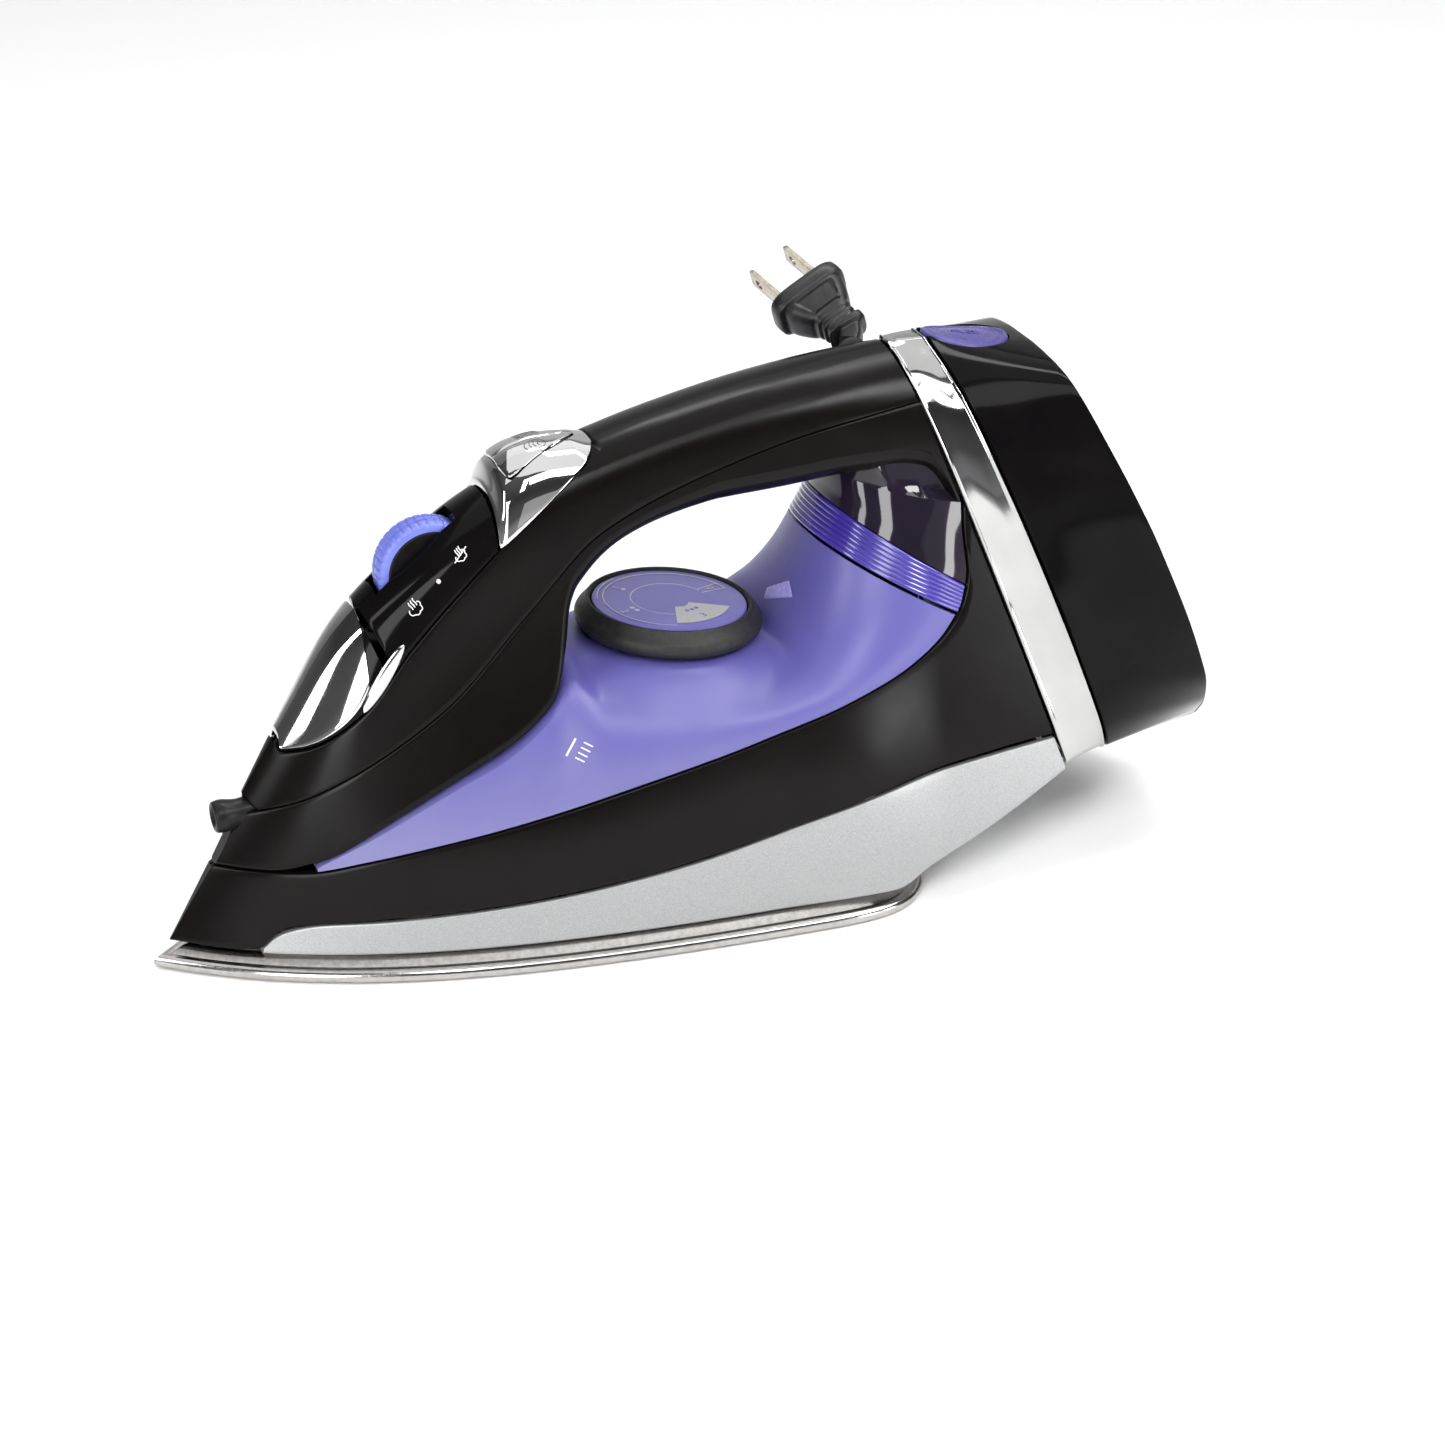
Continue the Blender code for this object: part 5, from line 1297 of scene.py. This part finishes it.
def make_winding():
    """Four layers of four turns, side by side on the reel: 16 turns hold 2.3 m of cord."""
    pitch = 2 * CORD_R + 0.05
    points, faces = [], []
    for layer in range(4):
        radius = WINDING_CORE + CORD_R + pitch * layer
        for column in range(4):
            offset = pitch * (column - 1.5)
            ring = [(radius + CORD_R * math.cos(t), offset + CORD_R * math.sin(t)) for t in turns(14)]
            more, sides = turned(ring, reel_centre(), reel_axis(), 56, hollow=True)
            faces += shifted(sides, len(points))
            points += more
    build("cord_winding_visual", points, faces, "vinyl", "reel", "cord_winding", sharp=60)


def tail_path():
    """Smooth centreline from the side of the winding to inside the plug, by its points' numbers."""
    axis = reel_axis()
    rise = Vector((-axis.z, 0.0, axis.x))
    foot = reel_centre() - Vector((0.0, WINDING_R + CORD_R + 0.5, 0.0))
    route = [tuple(foot + rise * r) for r in (-6.0, 4.0, 16.0)] + TAIL
    route += [tuple(plug_point(d)) for d in (0.0, 3.8)]
    return rail(route), len(route) - 1


def make_cord(plug_pieces):
    path, last = tail_path()
    points = [Vector(path(last * i / CORD_STEPS)) for i in range(CORD_STEPS + 1)]
    curve = bpy.data.curves.new("cord_visual", "CURVE")
    curve.dimensions = "3D"
    line = curve.splines.new("POLY")
    line.points.add(len(points) - 1)
    shift = Vector((CENTRE_X, 0.0, 0.0))
    for spot, point in zip(line.points, points):
        spot.co = (*((point - shift) * MM), 1.0)
    curve.bevel_depth = CORD_R * MM
    curve.bevel_resolution = 6
    curve.use_fill_caps = True
    curve.materials.append(LOOKS["vinyl"][0])
    made = add_object("cord_visual", curve)
    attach(made, "iron")
    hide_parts("cord_tail")
    length = sum((b - a).length for a, b in zip(points, points[1:])) * MM


# Plug: half width and half thickness, along the cord before its root and then along its axis
NECK_SECTIONS = (
    (1.5, 2.9, 2.7), (1.2, 3.3, 3.0), (0.95, 3.8, 3.3), (0.88, 4.0, 3.5), (0.8, 5.6, 4.4),
    (0.72, 6.2, 4.7), (0.45, 6.4, 4.8), (0.35, 5.9, 4.5), (0.28, 4.9, 4.0), (0.1, 4.9, 4.0))
plug_shape = smooth_line([
    (PLUG_NECK_END, (5.0, 4.1)), (4.6, (5.7, 4.5)), (5.3, (5.8, 4.6)), (5.7, (5.2, 4.2)), (6.5, (5.2, 4.2)),
    (7.0, (6.0, 4.8)), (8.4, (6.3, 5.0)), (9.4, (7.2, 5.4)), (12.4, (9.0, 6.0)), (15.4, (10.2, 6.5)),
    (PLUG_HEAD, (10.5, 6.6))])
HEAD_SECTIONS = (
    (17.4, 11.6, 7.0), (17.8, 12.0, 7.25), (19.8, 12.15, 7.35), (21.7, 12.0, 7.25), (22.3, 11.6, 6.9),
    (PLUG_BODY, 11.0, 6.3))
BLADE_SECTIONS = (
    (0.35, 1.0, 1.0), (14.6, 1.0, 1.0), (16.2, 0.86, 1.0), (16.8, 0.74, 0.7), (BLADE_LENGTH, 0.6, 0.4))
BLADE_CORNERS = (
    (-1, -0.92), (-0.8, -1), (0.8, -1), (1, -0.92), (1, 0.92), (0.8, 1), (-0.8, 1), (-1, 0.92))


def make_plug():
    aim, side, up = frame_of(PLUG_AIM)
    root = Vector(PLUG_ROOT)
    wide = side * math.cos(PLUG_ROLL) + up * math.sin(PLUG_ROLL)
    thick = wide.cross(aim)
    count = 64

    def section(centre, half_wide, half_thick, along=0.0, run=aim):
        across = (wide - run * wide.dot(run)).normalized()
        over = across.cross(run)
        loop = []
        for j in range(count):
            turn = 2 * math.pi * (j + 0.5) / count
            c, s = math.cos(turn), math.sin(turn)
            a = math.copysign(abs(c) ** 0.5, c) * half_wide
            b = math.copysign(abs(s) ** 0.5, s) * half_thick
            on_pad = abs(a) < 0.6 * half_wide and abs(b) > 0.7 * half_thick
            if on_pad and 9.0 < along < 16.4 and not 9.9 < along < 10.7:
                b -= math.copysign(0.6, s)
            loop.append(centre + across * a + over * b)
        return loop

    path, last = tail_path()
    loops = []
    for back, w, t in NECK_SECTIONS:
        here = Vector(path(last - back))
        run = (Vector(path(last - back + 0.02)) - Vector(path(last - back - 0.02))).normalized()
        loops.append(section(here, w, t, run=run))
    steps = 65
    for i in range(steps + 1):
        along = PLUG_NECK_END + (PLUG_HEAD - PLUG_NECK_END) * i / steps
        w, t = plug_shape(along)
        loops.append(section(root + aim * along, w, t, along))
    for along, w, t in HEAD_SECTIONS:
        loops.append(section(root + aim * along, w, t, along))
    body = build("plug_body_visual", *skin(loops), "vinyl", "iron", "plug_body", sharp=50)
    pieces = [body]
    for name, sign in (("neutral", -1), ("live", 1)):
        loops = []
        for along, half, slim in BLADE_SECTIONS:
            spot = root + aim * (PLUG_BODY + along) + wide * sign * BLADE_PITCH / 2
            loop = []
            for a, b in BLADE_CORNERS:
                loop.append(spot + wide * a * BLADE_THICK / 2 * slim + thick * b * BLADE_WIDE / 2 * half)
            loops.append(loop)
        blade = build(f"plug_blade_{name}_visual", *skin(loops), "nickel", "iron", f"plug_blade_{name}")
        hole = root + aim * (PLUG_BODY + BLADE_LENGTH - 4.6) + wide * (sign * BLADE_PITCH / 2 - 3)
        carve(blade, *turned([(1.55, 0), (1.55, 6.0)], hole, wide, 28))
        pieces.append(blade)
    collar = [(2.3, 0.0), (2.75, -3.6), (3.3, -3.6), (3.3, 2.6), (4.4, 2.9), (4.75, 3.3), (4.6, 4.2),
              (3.6, 5.0), (2.9, 6.4), (2.35, 6.6)]
    build("cord_bushing_visual", *turned(collar, OUTLET, (0, 1, 0), 40, hollow=True), "rubber", "iron",
          "cord_bushing")
    return pieces


# ---------------------------------------------------------------- marks on the tank

def make_tank_marks():
    tank = bpy.data.objects["water_tank_visual"]
    shape = bmesh.new()
    shape.from_mesh(tank.data)
    tree = BVHTree.FromBMesh(shape)

    def down_to(x, y):
        hit = tree.ray_cast(Vector(((x - CENTRE_X) * MM, y * MM, 0.13)), Vector((0, 0, -1)))
        return hit[0].z / MM

    def side_to(x, z):
        hit = tree.ray_cast(Vector(((x - CENTRE_X) * MM, -0.1, z * MM)), Vector((0, 1, 0)))
        return hit[0].y / MM

    bars = [[(-41.0, 61.0), (-38.0, 65.6)]]
    bars += [[(-38.8 + 0.9 * k, 60.6 + 1.35 * k), (-36.6 + 0.9 * k, 59.4 + 1.35 * k)] for k in range(4)]
    for i, (start, end) in enumerate(bars):
        path = []
        for k in range(7):
            x = start[0] + (end[0] - start[0]) * k / 6
            z = start[1] + (end[1] - start[1]) * k / 6
            path.append((x, side_to(x, z) - 0.02, z))
        build(f"tank_level_mark_{i}", *swept(path, 0.32 if i == 0 else 0.2, 6), "white_print", "iron",
              sharp=80)

    corners = [(32.4, 1.5), (36.2, -10.4), (37.2, -5.7), (34.0, 3.2)]
    low, high = [], []
    for a in range(4):
        x0, y0 = corners[a]
        x1, y1 = corners[(a + 1) % 4]
        for k in range(6):
            x = x0 + (x1 - x0) * k / 6
            y = y0 + (y1 - y0) * k / 6
            z = down_to(x, y)
            low.append((x, y, z - 0.6))
            high.append((x, y, z + 0.5))
    inner = [(x, y, z + 0.15) for x, y, z in drawn_in(high, 0.4)]
    build("tank_pointer", *skin([low, high, inner]), "lift_violet", "iron", sharp=50)
    shape.free()


# ---------------------------------------------------------------- carried-over CAD pieces

INNER_LOOKS = {
    "cast_aluminium": ["heater_casting", "steam_chamber_cover"],
    "steel": ["heating_element", "element_terminal_left", "element_terminal_right", "wheel_axle",
              "spray_spring", "burst_spring", "retract_spring", "brake_pin", "reel_axle", "mainspring"],
    "brass": ["thermostat_body", "valve_stem"],
    "white_plastic": ["thermostat_carrier", "thermal_fuse", "dial_shaft", "spray_piston", "burst_piston",
                      "spray_pump", "burst_pump", "spray_hose", "burst_hose", "retract_plunger",
                      "brake_lever"],
    "satin_black": ["reel_bulkhead", "cord_reel", "spring_housing", "button_guide"],
    "tank_violet": ["tank_tub", "shaft_sleeve"],
    "rubber": ["dial_seal", "brake_pad"],
}


def dress_inner():
    for look, nodes in INNER_LOOKS.items():
        for node in nodes:
            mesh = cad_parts[node].data
            mesh.materials.clear()
            mesh.materials.append(LOOKS[look][0])
            mesh.shade_smooth()
            mesh.set_sharp_from_angle(angle=math.radians(35))


# ---------------------------------------------------------------- studio

def area_light(name, place, target, size, power):
    lamp = bpy.data.lights.new(name, "AREA")
    lamp.shape = "RECTANGLE"
    lamp.size, lamp.size_y = size
    lamp.energy = power
    made = add_object(name, lamp)
    made.location = place
    made.rotation_euler = (Vector(target) - Vector(place)).to_track_quat("-Z", "Y").to_euler()


def make_floor():
    """Paper floor that bends up into a wall far behind the iron."""
    floor = bpy.data.meshes.new("studio_floor")
    rows = []
    half = 6.0
    sweep = [(-half, 0.0), (2.2, 0.0)]
    for i in range(1, 13):
        turn = math.pi / 2 * i / 12
        sweep.append((2.2 + 1.2 * math.sin(turn), 1.2 * (1 - math.cos(turn))))
    sweep.append((3.4, 6.0))
    away = Vector((0.34, 0.84, 0.0)).normalized()
    side = Vector((0.84, -0.34, 0.0)).normalized()
    for run, rise in sweep:
        for s in (-half, half):
            point = away * run + side * s
            rows.append((point.x, point.y, rise - 0.0002))
    faces = [(2 * i, 2 * i + 1, 2 * i + 3, 2 * i + 2) for i in range(len(sweep) - 1)]
    floor.from_pydata(rows, [], faces)
    floor.shade_smooth()
    made = add_object("studio_floor", floor)
    paper, tree, shader = principled("studio_paper")
    grain = tree.nodes.new("ShaderNodeTexNoise")
    grain.inputs["Scale"].default_value = 40.0
    tone = tree.nodes.new("ShaderNodeValToRGB")
    tone.color_ramp.elements[0].color = (0.90, 0.90, 0.90, 1.0)
    tone.color_ramp.elements[1].color = (0.93, 0.93, 0.93, 1.0)
    tree.links.new(grain.outputs["Fac"], tone.inputs["Fac"])
    tree.links.new(tone.outputs["Color"], shader.inputs["Base Color"])
    shader.inputs["Roughness"].default_value = 0.9
    shader.inputs["Specular IOR Level"].default_value = 0.1
    floor.materials.append(paper)


def make_world():
    world = bpy.data.worlds.new("studio_air")
    world.use_nodes = True
    nodes, links = world.node_tree.nodes, world.node_tree.links
    around = nodes.new("ShaderNodeTexCoord")
    split = nodes.new("ShaderNodeSeparateXYZ")
    tones = nodes.new("ShaderNodeValToRGB")
    tones.color_ramp.interpolation = "EASE"
    levels = ((0.0, 0.30), (0.12, 0.10), (0.45, 0.05), (1.0, 0.12))
    for i, (height, tone) in enumerate(levels):
        stop = tones.color_ramp.elements[i] if i < 2 else tones.color_ramp.elements.new(height)
        stop.position = height
        stop.color = (tone, tone, tone * 1.04, 1.0)
    links.new(around.outputs["Generated"], split.inputs["Vector"])
    links.new(split.outputs["Z"], tones.inputs["Fac"])
    links.new(tones.outputs["Color"], nodes["Background"].inputs["Color"])
    nodes["Background"].inputs["Strength"].default_value = 1.0
    bpy.context.scene.world = world


def make_lights():
    area_light("ceiling_soft", (0.3, 0.8, 3.2), (0.2, 0.6, 0.0), (4.5, 4.5), 66)
    area_light("upper_soft", (0.16, -0.95, 1.3), (0, 0, 0.1), (0.55, 0.45), 3)
    area_light("shell_soft", (-0.28, -1.1, 1.3), (0, 0, 0.1), (0.16, 0.6), 6)
    area_light("upright_soft", (0.8, -1.35, 0.25), (0, 0, 0.1), (0.2, 0.5), 3.5)
    area_light("low_card", (0.75, -1.7, 0.35), (0, 0, 0.08), (1.8, 0.6), 1.2)
    area_light("handle_strip", (0.66, -0.62, 0.95), (0, 0, 0.1), (0.9, 0.16), 8)
    area_light("crown_strip", (0.35, 0.25, 1.25), (0, 0, 0.1), (1.2, 0.12), 6)
    area_light("left_soft", (-1.3, -0.35, 0.7), (0, 0, 0.1), (0.25, 0.9), 6)
    area_light("front_soft", (-0.95, -1.15, 0.5), (0, 0, 0.08), (0.4, 0.9), 11)
    area_light("right_soft", (1.1, -1.0, 0.3), (0, 0, 0.1), (0.3, 0.5), 2.5)


def make_camera():
    back = Vector(CAMERA_BACK).normalized()
    right = Vector(CAMERA_RIGHT).normalized()
    up = back.cross(right)
    lens = bpy.data.cameras.new("photo_camera")
    lens.lens = CAMERA_LENS
    lens.sensor_width = 36.0
    lens.clip_start = 0.05
    made = add_object("photo_camera", lens)
    aim = Vector(((20.0 - CENTRE_X) * MM, 0.0, 44.5 * MM)) + right * CAMERA_SHIFT[0] + up * CAMERA_SHIFT[1]
    pose = Matrix((right, up, back)).transposed().to_4x4()
    pose.translation = aim + back * CAMERA_FAR
    made.matrix_world = pose
    bpy.context.scene.camera = made


def main():
    make_camera()
    make_looks()
    # Painted light low on the tank and painted shade higher up, mixed into its base colour by height.
    paint_tank_light_and_shade(LOOKS["tank_violet"][0], 48, 88, (0.165, 0.160, 0.33), (0.080, 0.072, 0.28))
    make_sole()
    make_skirt()
    make_base_shell()
    make_front_shell()
    make_handle_cover()
    make_tank()
    make_collar()
    make_column()
    make_dial()
    make_wheel()
    make_door()
    make_panel()
    make_bezel()
    make_nozzle()
    make_rear()
    make_retract_button()
    make_tank_marks()
    make_winding()
    make_cord(make_plug())
    dress_inner()
    make_floor()
    make_world()
    make_lights()
    bpy.context.scene.view_settings.view_transform = "Standard"


main()
